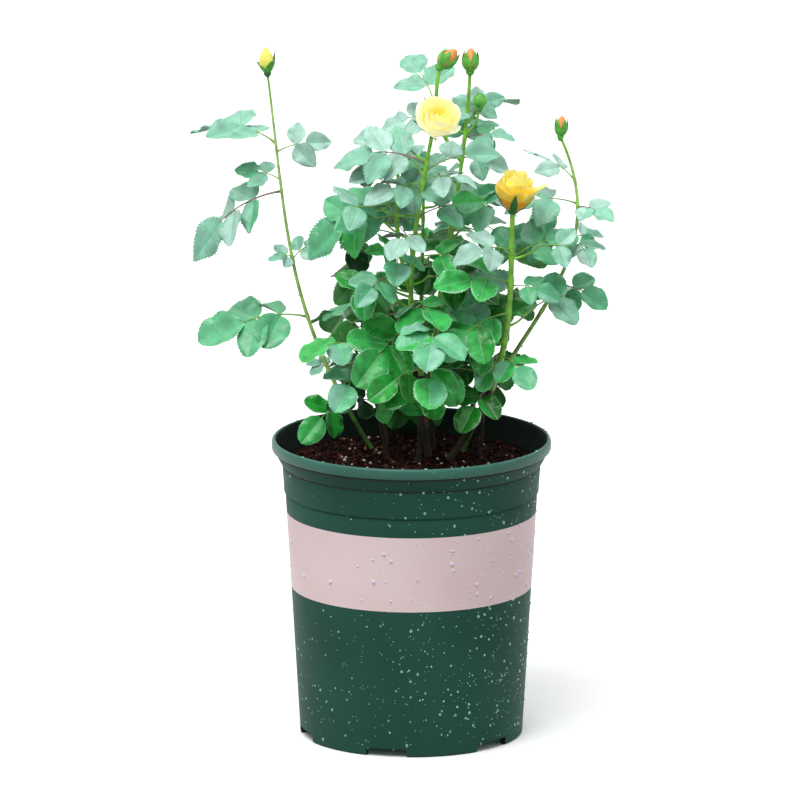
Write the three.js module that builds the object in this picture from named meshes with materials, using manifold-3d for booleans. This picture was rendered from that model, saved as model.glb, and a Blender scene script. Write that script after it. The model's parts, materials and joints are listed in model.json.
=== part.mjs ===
// A rose bush in a nursery pot, in millimetres, +Z up, with its origin under the middle of the pot.
//
// The pot is a thin moulded shell, filled with potting mix. Each cane rises from the mix as one tapering limb
// up to its lowest leaf. From there on it is a shoot: the cane's upper stem with its compound leaves fused on.
// A bloom or bud stands on the end of its own stalk.

import * as THREE from "three";
import { mergeVertices } from "three/addons/utils/BufferGeometryUtils.js";
import Module from "manifold-3d";

const wasm = await Module();
wasm.setup();
const Vec = THREE.Vector3;
const RADIANS = Math.PI / 180;
const UP = new Vec(0, 0, 1);

// ---------------------------------------------------------------- driving dimensions

const GAP = 0.3; // between pieces that rest on or run into each other
const SLIVER = 0.03; // detail smaller than this is dropped where solids are joined

const POT = {
  height: 248,
  footRadius: 91.6,
  rimRadius: 115,
  segments: 32,
  floor: 2.5, // thickness of the bottom
  step: 7.5, // the channel under the floor is this high
  discRadius: 40, // flat disc in the middle of the underside
  skirt: 6, // width of the ring that it stands on
};
const NOTCH = { count: 6, first: -103.2, width: 34, height: 7, corner: 2 };
const DRAIN = { length: 16, width: 7, at: 68 };

const SOIL = { top: 230, edgeDrop: 3, flatRadius: 72 };

// A compound leaf at size 1.
const LEAF = {
  reach: 47, // stalk and midrib together
  droop: 30, // degrees that the midrib bends down over its reach
  steps: 2, // straight stretches in the midrib
  smallest5: 0.84, // a smaller leaf has three leaflets instead of five
  terminal: 40, // length of the end leaflet
  upper: 36, // length of the outer pair
  lower: 32, // length of the inner pair
  leastGrowth: 0.3, // a small leaf's leaflets stay larger than its reach says
  widthShare: 0.74,
  spread: 62, // degrees between a side leaflet and the midrib
  turn: [50, 34], // degrees that a low and a high leaf roll to show their face to where the cane's leaves turn
  dip: [20, 8], // degrees that they are lowered if they point there, or raised if they point away
  heights: [300, 470], // where leaves count as low and as high
  thick: 0.9,
  sunk: 0.5, // how far a leaflet's root passes the midrib's axis
  midribRadius: [1.4, 1.1],
};
const CLEAR = { leaflet: 3.2, midrib: 2, cane: 1.5, head: 1.5, rim: 3 };
const SEED = 59;
const TRIES = 12; // ways that a leaf is turned before what still touches is left off
const PULL = 0.42; // share of a cane's span that each end's direction carries

// One row a cane. foot is where it leaves the mix, tip is where its stem ends, lean and arrive are its directions
// there as [degrees from upright, compass], radius is at the foot and the tip, and face is the compass point that
// its leaves turn to. Each leaf is [place along the cane, compass, degrees above level, size, and for some the
// degrees that it rolls]. Compass 0 is +X and 90 is +Y. A twig leaves its cane at the place from.
const CANES = [
  {
    name: "left", foot: [-33, 36], tip: [-118, 25, 549], lean: [31, 180], arrive: [7, 180], radius: [1.9, 0.9],
    face: 270, head: { kind: "bud", length: 22, width: 14, open: 0.7, tilt: [4, 200] }, stalk: 0.93,
    leaves: [
      [0.12, 222, 12, 0.56], [0.21, 165, 34, 0.12], [0.36, 184, 19, 1.12, 24], [0.53, 30, 56, 0.3], [0.54, 190, 30, 0.15],
      [0.725, 188, -8, 1.16, 22], [0.755, 160, 28, 0.4, 24], [0.825, 26, 24, 0.52, 44],
      [0.845, 156, 30, 0.92, 14],
    ],
  },
  {
    name: "right", foot: [42, 24], tip: [122, 0, 501], lean: [20, 0], arrive: [24, 180], radius: [2.2, 1.1],
    face: 270, head: { kind: "bud", length: 18, width: 12, open: 0.3, tilt: [4, 0] }, stalk: 0.93,
    leaves: [
      [0.25, 205, 26, 0.6], [0.44, 60, 24, 0.6], [0.53, 330, 20, 0.52], [0.69, 285, 24, 0.45], [0.68, 176, 24, 0.72],
      [0.7, 20, 14, 0.2], [0.8, 318, 20, 0.42], [0.81, 184, 22, 0.72, 22], [0.88, 165, 42, 0.56, 20],
    ],
  },
  {
    name: "front", foot: [14, 8], tip: [17.5, -30, 513], lean: [10, 170], arrive: [11, 350], radius: [2.5, 1.6],
    face: 270, head: { kind: "bloom", width: 38, height: 33, tilt: [48, 286] }, stalk: 0.93,
    twigs: [
      { name: "side", from: 0.5, tip: [-11, -5, 473], lean: [18, 185], arrive: [2, 0], radius: [2, 1.2], face: 270,
        leaves: [
          [0.3, 215, 40, 0.34], [0.36, 265, 2, 0.7], [0.52, 100, 24, 0.9], [0.64, 225, 18, 0.72],
          [0.77, 188, 2, 1.04], [0.88, 330, 24, 0.6], [1, 214, 28, 0.5],
        ] },
    ],
    leaves: [
      [0.3, 305, 12, 0.85], [0.32, 100, 18, 0.9], [0.38, 222, 10, 0.9], [0.43, 190, -4, 0.94], [0.47, 300, 16, 0.84],
      [0.62, 350, 22, 0.76], [0.7, 240, 28, 0.62], [0.76, 12, 24, 0.64], [0.87, 322, 28, 0.56], [0.86, 205, 22, 0.55],
      [0.895, 5, 38, 0.74], [0.915, 184, 36, 0.95],
    ],
  },
  {
    name: "gold", foot: [31, -6], tip: [82.6, -35, 447], lean: [35, 0], arrive: [3, 300], radius: [2.8, 2.1],
    face: 270, head: { kind: "bloom", width: 38, height: 34, tilt: [10, 320] }, stalk: 0.88,
    leaves: [
      [0.31, 242, 6, 0.68], [0.36, 105, 14, 0.82], [0.44, 305, 30, 0.5], [0.5, 212, 16, 0.66], [0.56, 95, 24, 0.9],
      [0.63, 200, 12, 0.84], [0.74, 350, 22, 0.42], [0.75, 186, 24, 0.75], [0.84, 10, 34, 0.68], [0.87, 208, 34, 0.64],
    ],
  },
  {
    name: "top", foot: [17, 36], tip: [48, 20, 551], lean: [2, 180], arrive: [3, 0], radius: [2.7, 1.4],
    face: 270, head: { kind: "bud", length: 20, width: 16, open: 0.25, tilt: [2, 0] }, stalk: 0.95,
    twigs: [
      { name: "top_side", from: 0.79, tip: [23, 16, 556], lean: [38, 185], arrive: [10, 10], radius: [1.7, 1.6],
        face: 270, head: { kind: "bud", length: 20, width: 17, open: 0.35, tilt: [44, 0] }, stalk: 0.8,
        leaves: [[0.5, 24, 34, 0.4], [0.58, 122, 52, 0.82]] },
      { name: "top_small", from: 0.86, tip: [56, 12, 523], lean: [60, 320], arrive: [12, 0], radius: [1.2, 1],
        face: 270, head: { kind: "bud", length: 12, width: 13, open: 0, tilt: [0, 0] }, stalk: 0.5 },
    ],
    leaves: [
      [0.91, 15, 40, 0.36], [0.85, 350, 34, 0.44], [0.8, 332, 30, 0.42], [0.69, 318, 18, 0.84], [0.61, 8, 6, 0.75],
      [0.73, 200, 18, 0.88], [0.82, 95, 36, 0.85], [0.65, 105, 28, 0.95], [0.56, 60, 22, 0.95], [0.5, 112, 20, 0.84],
      [0.42, 320, 12, 0.95], [0.36, 140, 12, 0.95], [0.28, 40, 8, 0.9],
    ],
  },
  {
    name: "low_left", foot: [-20, 6], tip: [-48, -26, 332], lean: [10, 190], arrive: [30, 215], radius: [2, 1.1],
    face: 260,
    leaves: [
      [0.42, 222, 50, 0.5], [0.54, 320, 34, 0.6], [0.66, 105, 14, 0.8], [0.8, 268, 32, 0.7], [0.9, 335, 24, 0.62],
      [1, 222, 44, 0.64],
    ],
  },
  {
    name: "low_front", foot: [6, -14], tip: [20, -48, 352], lean: [6, 280], arrive: [22, 285], radius: [2.1, 1.1],
    face: 270,
    leaves: [
      [0.5, 205, 44, 0.5], [0.55, 280, 22, 0.62], [0.7, 185, 30, 0.7], [0.84, 345, 30, 0.66], [1, 262, 36, 0.84],
    ],
  },
  {
    name: "low_right", foot: [56, 12], tip: [70, -4, 318], lean: [8, 350], arrive: [28, 330], radius: [2, 1.1],
    face: 280,
    leaves: [
      [0.62, 75, 24, 0.6], [0.8, 212, 34, 0.7], [1, 262, 30, 0.45],
    ],
  },
  {
    name: "back_left", foot: [-20, 52], tip: [-40, 84, 336], lean: [14, 130], arrive: [20, 120], radius: [2.2, 1.2],
    face: 110,
    leaves: [
      [0.4, 60, 8, 0.85], [0.55, 80, 0, 0.75], [0.7, 110, 12, 0.9], [0.85, 30, 22, 0.85], [1, 118, 16, 0.95],
    ],
  },
  {
    name: "back", foot: [8, 60], tip: [10, 88, 436], lean: [10, 95], arrive: [10, 85], radius: [2.5, 1.3],
    face: 90,
    leaves: [
      [0.26, 80, 4, 0.9], [0.37, 165, 10, 0.8], [0.47, 30, 12, 0.9], [0.56, 105, 14, 0.95],
      [0.73, 10, 20, 0.9], [0.82, 75, 22, 0.95], [0.91, 150, 26, 0.9], [1, 60, 26, 0.95],
    ],
  },
  {
    name: "back_right", foot: [44, 46], tip: [72, 72, 394], lean: [16, 40], arrive: [10, 30], radius: [2.4, 1.3],
    face: 80,
    leaves: [
      [0.3, 100, 14, 0.8], [0.43, 80, 16, 0.8], [0.55, 130, 14, 0.9], [0.66, 100, 16, 0.95], [0.77, 75, 28, 0.66],
      [0.89, 130, 24, 0.9], [1, 60, 24, 0.95],
    ],
  },
];

// ---------------------------------------------------------------- colours

const finish = (color, roughness) => new THREE.MeshStandardMaterial({ color, roughness, metalness: 0 });
const FINISH = {
  pot: () => finish(0x2b5445, 0.42),
  soil: () => finish(0x2c1a14, 0.95),
  cane: () => finish(0x4f7d2c, 0.55),
  leaf: () => finish(0x4c9a6c, 0.5),
  petal: () => finish(0xf3e27c, 0.6),
  goldPetal: () => finish(0xf5b83a, 0.6),
  bud: () => finish(0x63a846, 0.55),
};

// ---------------------------------------------------------------- solids

// A closed solid from points and triangles, turned to face out.
function solidOf(points, triangles) {
  const flat = new Float32Array(points.flatMap((p) => [p.x, p.y, p.z]));
  const made = (faces) =>
    new wasm.Manifold(new wasm.Mesh({ numProp: 3, vertProperties: flat, triVerts: new Uint32Array(faces.flat()) }));
  const solid = made(triangles);
  return solid.volume() > 0 ? solid : made(triangles.map(([a, b, c]) => [a, c, b]));
}

// A closed three.js geometry as a solid.
function solidOfGeometry(geometry) {
  const bare = geometry.index ? geometry.toNonIndexed() : geometry.clone();
  bare.deleteAttribute("normal");
  bare.deleteAttribute("uv");
  const merged = mergeVertices(bare, 1e-3);
  const position = merged.getAttribute("position");
  const points = Array.from({ length: position.count }, (_, i) => new Vec().fromBufferAttribute(position, i));
  const index = merged.index.array;
  const faces = Array.from({ length: index.length / 3 }, (_, i) => [...index.slice(3 * i, 3 * i + 3)]);
  return solidOf(points, faces.filter(([a, b, c]) => a !== b && b !== c && a !== c));
}

// A solid as a named mesh.
function mesh(name, solid, material) {
  const { numProp, vertProperties, triVerts } = solid.getMesh();
  const geometry = new THREE.BufferGeometry()
    .setAttribute("position", new THREE.BufferAttribute(vertProperties, numProp))
    .setIndex(new THREE.BufferAttribute(triVerts, 1));
  geometry.computeVertexNormals();
  const made = new THREE.Mesh(geometry, material);
  made.name = name;
  return made;
}

// The largest body of a union, without the union's slivers.
function fuse(solids) {
  const bodies = wasm.Manifold.union(solids).simplify(SLIVER).decompose();
  return bodies.sort((a, b) => b.volume() - a.volume())[0];
}

// A solid of revolution about +Z from a profile of [radius, height].
function turned(profile, segments) {
  const points = profile.map(([r, z]) => new THREE.Vector2(r, z));
  return solidOfGeometry(new THREE.LatheGeometry(points, segments).rotateX(Math.PI / 2));
}

// A tube through points with a radius and a direction at each, which stands square to its rings.
function tube(points, radii, tangents, sides, reference) {
  const last = points.length - 1;
  const rings = points.map((p, i) => {
    const tangent = tangents[i];
    const side = reference.clone().addScaledVector(tangent, -reference.dot(tangent)).normalize();
    const over = tangent.clone().cross(side);
    return Array.from({ length: sides }, (_, k) => {
      const turn = (2 * Math.PI * k) / sides;
      return p
        .clone()
        .addScaledVector(side, radii[i] * Math.cos(turn))
        .addScaledVector(over, radii[i] * Math.sin(turn));
    });
  });
  const faces = [];
  for (let i = 0; i < last; i++)
    for (let k = 0; k < sides; k++) {
      const [a, b] = [i * sides + k, i * sides + ((k + 1) % sides)];
      faces.push([a, b, b + sides], [a, b + sides, a + sides]);
    }
  for (let k = 1; k < sides - 1; k++) faces.push([0, k + 1, k], [last * sides, last * sides + k, last * sides + k + 1]);
  return solidOf(rings.flat(), faces);
}

// Outlines from the root round to it again: [share of the length, share of the width].
const LEAF_OUTLINE = [[0, 0], [0.44, 0.5], [1, 0], [0.44, -0.5]];
const PETAL_OUTLINE = [[0, 0], [0.7, 0.5], [1, 0.2], [1, -0.2], [0.7, -0.5]];

// A closed blade with the given outline, and one point above and one below its middle.
function blade({ base, along, across, normal, length, width, cup, curl, thick, outline = LEAF_OUTLINE }) {
  const at = (u, v, lift) =>
    base
      .clone()
      .addScaledVector(along, u * length)
      .addScaledVector(across, v * width)
      .addScaledVector(normal, lift + cup * Math.abs(v) * width - curl * u * u * length);
  const count = outline.length;
  const points = [...outline.map(([u, v]) => at(u, v, 0)), at(0.48, 0, thick / 2), at(0.48, 0, -thick / 2)];
  const faces = outline.flatMap((_, i) => {
    const next = (i + 1) % count;
    return [[count, next, i], [count + 1, i, next]];
  });
  return solidOf(points, faces);
}

// ---------------------------------------------------------------- the plant's plan

// Even random numbers from 0 to 1, the same ones for the same seed.
function randomFrom(seed) {
  const [multiplier, modulus] = [48271, 2147483647];
  let state = (seed * 7919 + SEED) % modulus;
  const draw = () => {
    state = (state * multiplier) % modulus;
    return state / modulus;
  };
  for (let i = 0; i < 3; i++) draw();
  return draw;
}

// The unit direction [degrees from upright, compass].
function direction([lean, compass]) {
  const flat = Math.sin(lean * RADIANS);
  return new Vec(flat * Math.cos(compass * RADIANS), flat * Math.sin(compass * RADIANS), Math.cos(lean * RADIANS));
}

function limbCurve(foot, tip, lean, arrive) {
  const pull = PULL * foot.distanceTo(tip);
  const rising = foot.clone().addScaledVector(direction(lean), pull);
  const arriving = tip.clone().addScaledVector(direction(arrive), -pull);
  return new THREE.CubicBezierCurve3(foot, rising, arriving, tip);
}

const radiusAt = ([foot, tip], t) => foot + (tip - foot) * t;

// A compound leaf: its midrib's points, and a frame and size for each of its leaflets.
function leafPlan(root, [, compass, rise, size, own], face, looseness, random) {
  const turn = (compass + 20 * looseness * (random() - 0.5)) * RADIANS;
  const out = new Vec(Math.cos(turn), Math.sin(turn), 0);
  const side = new Vec(-Math.sin(turn), Math.cos(turn), 0);
  const facing = new Vec(Math.cos(face * RADIANS), Math.sin(face * RADIANS), 0);
  const aloft = THREE.MathUtils.clamp((root.z - LEAF.heights[0]) / (LEAF.heights[1] - LEAF.heights[0]), 0, 1);
  const [turned, dipped] = [LEAF.turn, LEAF.dip].map(([low, high]) => low + (high - low) * aloft);
  const start = rise - dipped * out.dot(facing) + 14 * looseness * (random() - 0.5);
  const twist = (-(own ?? turned) * side.dot(facing) + 30 * (random() - 0.5)) * RADIANS;
  const droop = LEAF.droop * (0.75 + 0.5 * random());
  const reach = LEAF.reach * size;
  const growth = LEAF.leastGrowth + (1 - LEAF.leastGrowth) * size;
  const tangentAt = (s) => {
    const angle = (start - droop * s) * RADIANS;
    return out.clone().multiplyScalar(Math.cos(angle)).addScaledVector(UP, Math.sin(angle));
  };
  const midrib = [root.clone()];
  for (let i = 0; i < LEAF.steps; i++)
    midrib.push(midrib[i].clone().addScaledVector(tangentAt((i + 0.5) / LEAF.steps), reach / LEAF.steps));
  const pointAt = (s) => {
    const i = Math.min(Math.floor(s * LEAF.steps), LEAF.steps - 1);
    return midrib[i].clone().lerp(midrib[i + 1], s * LEAF.steps - i);
  };
  const leaflet = (s, swing, length) => {
    const tangent = tangentAt(s);
    const level = tangent.clone().cross(side);
    const across0 = side.clone().multiplyScalar(Math.cos(twist)).addScaledVector(level, Math.sin(twist));
    const normal0 = level.clone().multiplyScalar(Math.cos(twist)).addScaledVector(side, -Math.sin(twist));
    const flat = tangent.clone().multiplyScalar(Math.cos(swing)).addScaledVector(across0, Math.sin(swing));
    const pitch = (6 + 22 * (random() - 0.5)) * RADIANS;
    const roll = 44 * (random() - 0.5) * RADIANS;
    const along = flat.clone().multiplyScalar(Math.cos(pitch)).addScaledVector(normal0, -Math.sin(pitch));
    const normal1 = normal0.clone().multiplyScalar(Math.cos(pitch)).addScaledVector(flat, Math.sin(pitch));
    const across1 = normal1.clone().cross(along);
    const normal = normal1.clone().multiplyScalar(Math.cos(roll)).addScaledVector(across1, Math.sin(roll));
    const across = normal.clone().cross(along);
    const long = length * growth * (0.92 + 0.16 * random());
    const width = long * LEAF.widthShare * (0.92 + 0.16 * random());
    const base = pointAt(s).addScaledVector(along, -LEAF.sunk);
    const [cup, curl] = [0.12 + 0.42 * random(), 0.04 + 0.18 * random()];
    return { base, along, across, normal, length: long, width, cup, curl, thick: LEAF.thick };
  };
  const spread = LEAF.spread * RADIANS;
  const leaflets = [leaflet(1, 0, LEAF.terminal)];
  const pairs = size < LEAF.smallest5 ? [[0.64, LEAF.upper]] : [[0.78, LEAF.upper], [0.42, LEAF.lower]];
  for (const [s, length] of pairs)
    leaflets.push(leaflet(s, spread, length), leaflet(s, -spread, length));
  const spine = Array.from({ length: 9 }, (_, i) => pointAt(0.28 + 0.08 * i));
  const tangents = midrib.map((_, i) => tangentAt(i / LEAF.steps));
  return { midrib, tangents, spine, side, leaflets };
}

// Points spread over a leaflet, which stand for it when the plan looks for what would touch.
function leafletSamples(l) {
  const rows = [[0.14, [0]], [0.32, [-0.3, 0, 0.3]], [0.5, [-0.36, -0.12, 0.12, 0.36]], [0.68, [-0.26, 0, 0.26]],
    [0.84, [-0.1, 0.1]], [0.98, [0]]];
  return rows.flatMap(([u, across]) => across.map((v) =>
    l.base
      .clone()
      .addScaledVector(l.along, u * l.length)
      .addScaledVector(l.across, v * l.width)
      .addScaledVector(l.normal, l.cup * Math.abs(v) * l.width - l.curl * u * u * l.length)));
}

// What is already in place, as spheres kept by the cell of space that they are in.
const CELL = 24;
const cells = new Map();
const cellOf = (p, dx = 0, dy = 0, dz = 0) =>
  `${Math.floor(p.x / CELL) + dx},${Math.floor(p.y / CELL) + dy},${Math.floor(p.z / CELL) + dz}`;
function take(points, reach, limb) {
  for (const point of points) {
    const key = cellOf(point);
    if (!cells.has(key)) cells.set(key, []);
    cells.get(key).push({ point, reach, limb });
  }
}
function near(p) {
  const found = [];
  for (const dx of [-1, 0, 1])
    for (const dy of [-1, 0, 1])
      for (const dz of [-1, 0, 1]) found.push(...(cells.get(cellOf(p, dx, dy, dz)) ?? []));
  return found;
}

// Whether any of the points would touch the pot, the mix, or what another limb has in place.
function touches(points, reach, limb) {
  return points.some((p) => {
    const overRim = Math.hypot(p.x, p.y) > POT.rimRadius - 14;
    return p.z < SOIL.top + CLEAR.rim || (overRim && p.z < POT.height + CLEAR.rim) ||
      near(p).some((t) => t.limb !== limb && t.point.distanceTo(p) < t.reach + reach);
  });
}

// Where each limb runs and what it carries. Limbs and heads are placed first, so that every leaf keeps clear.
function limbPlans() {
  const limbs = [];
  const addLimb = (spec, curve, parent) => {
    limbs.push({ ...spec, curve, parent, plans: [] });
    const steps = Math.ceil(curve.getLength() / 4);
    for (let i = 0; i <= steps; i++)
      take([curve.getPoint(i / steps)], radiusAt(spec.radius, i / steps) + CLEAR.cane, parent ?? spec.name);
    if (!spec.head) return;
    const { kind, tilt, width, length = 0, height = 0 } = spec.head;
    const [tall, share] = kind === "bud" ? [length, 0.5] : [height, 0.48];
    for (const along of [0.25, 0.55, 0.85])
      take([curve.getPoint(1).addScaledVector(direction(tilt), along * tall)], width * share + CLEAR.head, "heads");
  };
  for (const cane of CANES) {
    const foot = new Vec(cane.foot[0], cane.foot[1], SOIL.top + GAP);
    const curve = limbCurve(foot, new Vec(...cane.tip), cane.lean, cane.arrive);
    addLimb(cane, curve, null);
    for (const twig of cane.twigs ?? [])
      addLimb(twig, limbCurve(curve.getPoint(twig.from), new Vec(...twig.tip), twig.lean, twig.arrive), cane.name);
  }
  limbs.forEach((limb, limbIndex) => (limb.leaves ?? []).forEach((leaf, leafIndex) => {
    const root = limb.curve.getPoint(leaf[0]);
    const owner = limb.parent ?? limb.name;
    let best = null;
    for (let attempt = 0; attempt < TRIES && !(best && best.lost === 0); attempt++) {
      const random = randomFrom(limbIndex * 1000 + leafIndex * 50 + attempt);
      const plan = leafPlan(root, leaf, limb.face, 1 + attempt / 4, random);
      const kept = plan.leaflets.filter((l) => !touches(leafletSamples(l), CLEAR.leaflet, owner));
      const lost = plan.leaflets.length - kept.length + (touches(plan.spine, CLEAR.midrib, owner) ? 99 : 0);
      if (!best || lost < best.lost) best = { ...plan, leaflets: kept, lost };
    }
    if (best.lost > 90 || best.leaflets.length === 0) return;
    limb.plans.push(best);
    take(best.spine, CLEAR.midrib, owner + "_leaf");
    for (const l of best.leaflets) take(leafletSamples(l), CLEAR.leaflet, owner + "_leaf");
  }));
  return limbs;
}

// ---------------------------------------------------------------- pot and mix

// The wall's outer profile above the foot: [radius, height]. Two small steps and a flare run up to the rolled lip.
const WALL_PROFILE = [
  [91.6, 1.2], [103.7, 203], [104.6, 204], [106.4, 226], [107.1, 227.5], [109.4, 232], [112.4, 238.4],
  [114.3, 238.8], [115, 241], [115, 245], [114.4, 247.4], [113.2, 248],
];
// Its inner profile, from the lip down.
const INNER_PROFILE = [[111.6, 247], [110.6, 241], [107, 231], [104.6, 226], [101.8, 203], [90, 10]];

function potSolid() {
  const { floor, step, discRadius, skirt, footRadius } = POT;
  const shell = turned([
    [0, 0], [discRadius, 0], [discRadius + 4, step], [footRadius - skirt, step], [footRadius - skirt + 1, 0],
    [footRadius - 1.2, 0], ...WALL_PROFILE, ...INNER_PROFILE, [discRadius + 2, step + floor], [discRadius - 2, floor],
    [0, floor],
  ], POT.segments);
  const corner = NOTCH.corner;
  const arch = new THREE.Shape();
  arch.moveTo(-NOTCH.width / 2, -2);
  arch.lineTo(NOTCH.width / 2, -2);
  arch.lineTo(NOTCH.width / 2, NOTCH.height - corner);
  arch.absarc(NOTCH.width / 2 - corner, NOTCH.height - corner, corner, 0, Math.PI / 2, false);
  arch.absarc(-NOTCH.width / 2 + corner, NOTCH.height - corner, corner, Math.PI / 2, Math.PI, false);
  const cuts = [];
  for (let i = 0; i < NOTCH.count; i++) {
    const turn = (NOTCH.first + (360 / NOTCH.count) * i) * RADIANS;
    const notch = new THREE.ExtrudeGeometry(arch, { depth: 20, bevelEnabled: false, curveSegments: 2 });
    notch.rotateX(Math.PI / 2).translate(0, footRadius + 6, 0).rotateZ(turn - Math.PI / 2);
    const drain = new THREE.BoxGeometry(DRAIN.length, DRAIN.width, 12);
    drain.translate(0, DRAIN.at, step + floor / 2).rotateZ(turn - Math.PI / 2);
    cuts.push(solidOfGeometry(notch), solidOfGeometry(drain));
  }
  return shell.subtract(wasm.Manifold.union(cuts));
}

// The mix fills the pot's inside up to a little under the rim.
function soilSolid() {
  const floorTop = POT.step + POT.floor + GAP;
  const clearance = GAP * 1.6;
  const { discRadius, floor, segments } = POT;
  return turned([
    [0, floor + GAP], [discRadius - 2 - clearance, floor + GAP], [discRadius + 2 - clearance, floorTop],
    [90 - clearance, floorTop], [101.8 - clearance, 203], [104.6 - clearance, 226],
    [104.8 - clearance, SOIL.top - SOIL.edgeDrop], [SOIL.flatRadius, SOIL.top], [0, SOIL.top],
  ], segments);
}

// ---------------------------------------------------------------- heads

// A bud: a hip, an egg of folded petals, and five sepals that lie against it or stand off as it opens.
function budSolid(foot, { length, width, open, tilt }) {
  const r = width / 2;
  const egg = turned([
    [0, -2.6], [2, -2.6], [r * 0.62, length * 0.12], [r * 0.96, length * 0.38], [r * 0.62, length * 0.76], [0, length],
  ], 8);
  const sepals = Array.from({ length: 5 }, (_, i) => {
    const turn = (i * 72 + 20) * RADIANS;
    const out = new Vec(Math.cos(turn), Math.sin(turn), 0);
    const flare = (10 + 16 * open) * RADIANS;
    const along = UP.clone().multiplyScalar(Math.cos(flare)).addScaledVector(out, Math.sin(flare));
    const normal = out.clone().multiplyScalar(-Math.cos(flare)).addScaledVector(UP, Math.sin(flare));
    const across = normal.clone().cross(along);
    const base = out.clone().multiplyScalar(r * 0.5).setZ(length * 0.08);
    return blade({ base, along, across, normal, length: length * 0.82, width: width * 0.42, cup: 0.25, curl: -0.12, thick: 1.2 });
  });
  return placeHead(fuse([egg, ...sepals]), foot, tilt);
}

// An open bloom: a core of folded petals, two rounds of spread petals, and five sepals under them.
function bloomSolid(foot, { width, height, tilt }) {
  const r = width / 2;
  const core = turned([
    [0, -2.6], [2.6, -2.6], [4.4, 3], [r * 0.62, height * 0.3], [r * 0.72, height * 0.62], [r * 0.5, height * 0.96],
    [0, height * 0.98],
  ], 9);
  const ring = (count, first, flare, baseRadius, baseHeight, long, wide, cup, curl, outline) =>
    Array.from({ length: count }, (_, i) => {
      const turn = (first + (360 / count) * i) * RADIANS;
      const out = new Vec(Math.cos(turn), Math.sin(turn), 0);
      const lean = flare * RADIANS;
      const along = UP.clone().multiplyScalar(Math.cos(lean)).addScaledVector(out, Math.sin(lean));
      const normal = out.clone().multiplyScalar(-Math.cos(lean)).addScaledVector(UP, Math.sin(lean));
      const across = normal.clone().cross(along);
      const base = out.clone().multiplyScalar(baseRadius).setZ(baseHeight);
      return blade({ base, along, across, normal, length: long, width: wide, cup, curl, thick: 1.6, outline });
    });
  const outer = ring(5, 0, 34, 3, 3, height * 0.98, width * 0.62, 0.34, 0.05, PETAL_OUTLINE);
  const sepals = ring(5, 36, 62, 2, 1.5, r * 0.95, 7, 0.2, 0.2, LEAF_OUTLINE);
  return placeHead(fuse([core, ...outer, ...sepals]), foot, tilt);
}

// Turns a head from upright to its tilt and sets it on its stalk's end.
function placeHead(solid, foot, tilt) {
  const turn = new THREE.Quaternion().setFromUnitVectors(UP, direction(tilt));
  const matrix = new THREE.Matrix4().compose(foot, turn, new Vec(1, 1, 1));
  return solid.transform(matrix.toArray());
}

// ---------------------------------------------------------------- limbs

// The stretch of a limb from one place along it to another, as a tube.
function limbTube(limb, from, to, { sides, step, flare = 0 }) {
  const count = Math.max(1, Math.ceil(((to - from) * limb.curve.getLength()) / step));
  const places = Array.from({ length: count + 1 }, (_, i) => from + ((to - from) * i) / count);
  if (flare) places.splice(1, 0, from + 10 / limb.curve.getLength());
  const radii = places.map((t) => radiusAt(limb.radius, t));
  const tangents = places.map((t) => limb.curve.getTangent(t));
  if (flare) [radii[0], tangents[0]] = [radii[0] * (1 + flare), UP];
  return tube(places.map((t) => limb.curve.getPoint(t)), radii, tangents, sides, new Vec(1, 0, 0));
}

function leafSolids({ midrib, tangents, side, leaflets }) {
  const radii = midrib.map((_, i) => radiusAt(LEAF.midribRadius, i / (midrib.length - 1)));
  return [tube(midrib, radii, tangents, 3, side), ...leaflets.map((leaflet) => blade(leaflet))];
}

const plant = new THREE.Group();
plant.add(mesh("pot", potSolid(), FINISH.pot()));
plant.add(mesh("soil", soilSolid(), FINISH.soil()));

const limbs = limbPlans();
for (const limb of limbs) {
  const gap = GAP / limb.curve.getLength();
  const stalk = limb.stalk ?? 1;
  if (limb.head) {
    const head = limb.head.kind === "bud" ? budSolid : bloomSolid;
    const stalkTube = limbTube(limb, stalk + gap, 1, { sides: 6, step: 12 });
    const material = { front: FINISH.petal, gold: FINISH.goldPetal }[limb.name] ?? FINISH.bud;
    const solid = fuse([stalkTube, head(limb.curve.getPoint(1), limb.head)]);
    plant.add(mesh(`${limb.head.kind}_${limb.name}`, solid, material()));
  }
  if (limb.parent) continue;
  const firstLeaf = Math.min(...limb.leaves.map(([at]) => at)) - 0.02;
  plant.add(mesh(`cane_${limb.name}`,
    limbTube(limb, 0, firstLeaf - gap, { sides: 7, step: 22, flare: 0.35 }), FINISH.cane()));
  const twigs = limbs.filter((other) => other.parent === limb.name);
  const pieces = [
    limbTube(limb, firstLeaf, stalk, { sides: 6, step: 24 }),
    ...twigs.map((twig) => limbTube(twig, 0, twig.stalk ?? 1, { sides: 5, step: 20 })),
    ...[limb, ...twigs].flatMap((one) => one.plans.flatMap(leafSolids)),
  ];
  plant.add(mesh(`foliage_${limb.name}`, fuse(pieces), FINISH.leaf()));
}

export default plant;
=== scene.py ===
"""Looks for the rose bush in its nursery pot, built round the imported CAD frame.

Lengths are in millimetres until a mesh is made. +X is to the plant's right, +Y to its back and +Z up.
"""

import json
import math

import bpy
import numpy as np
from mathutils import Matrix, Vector, noise

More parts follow.
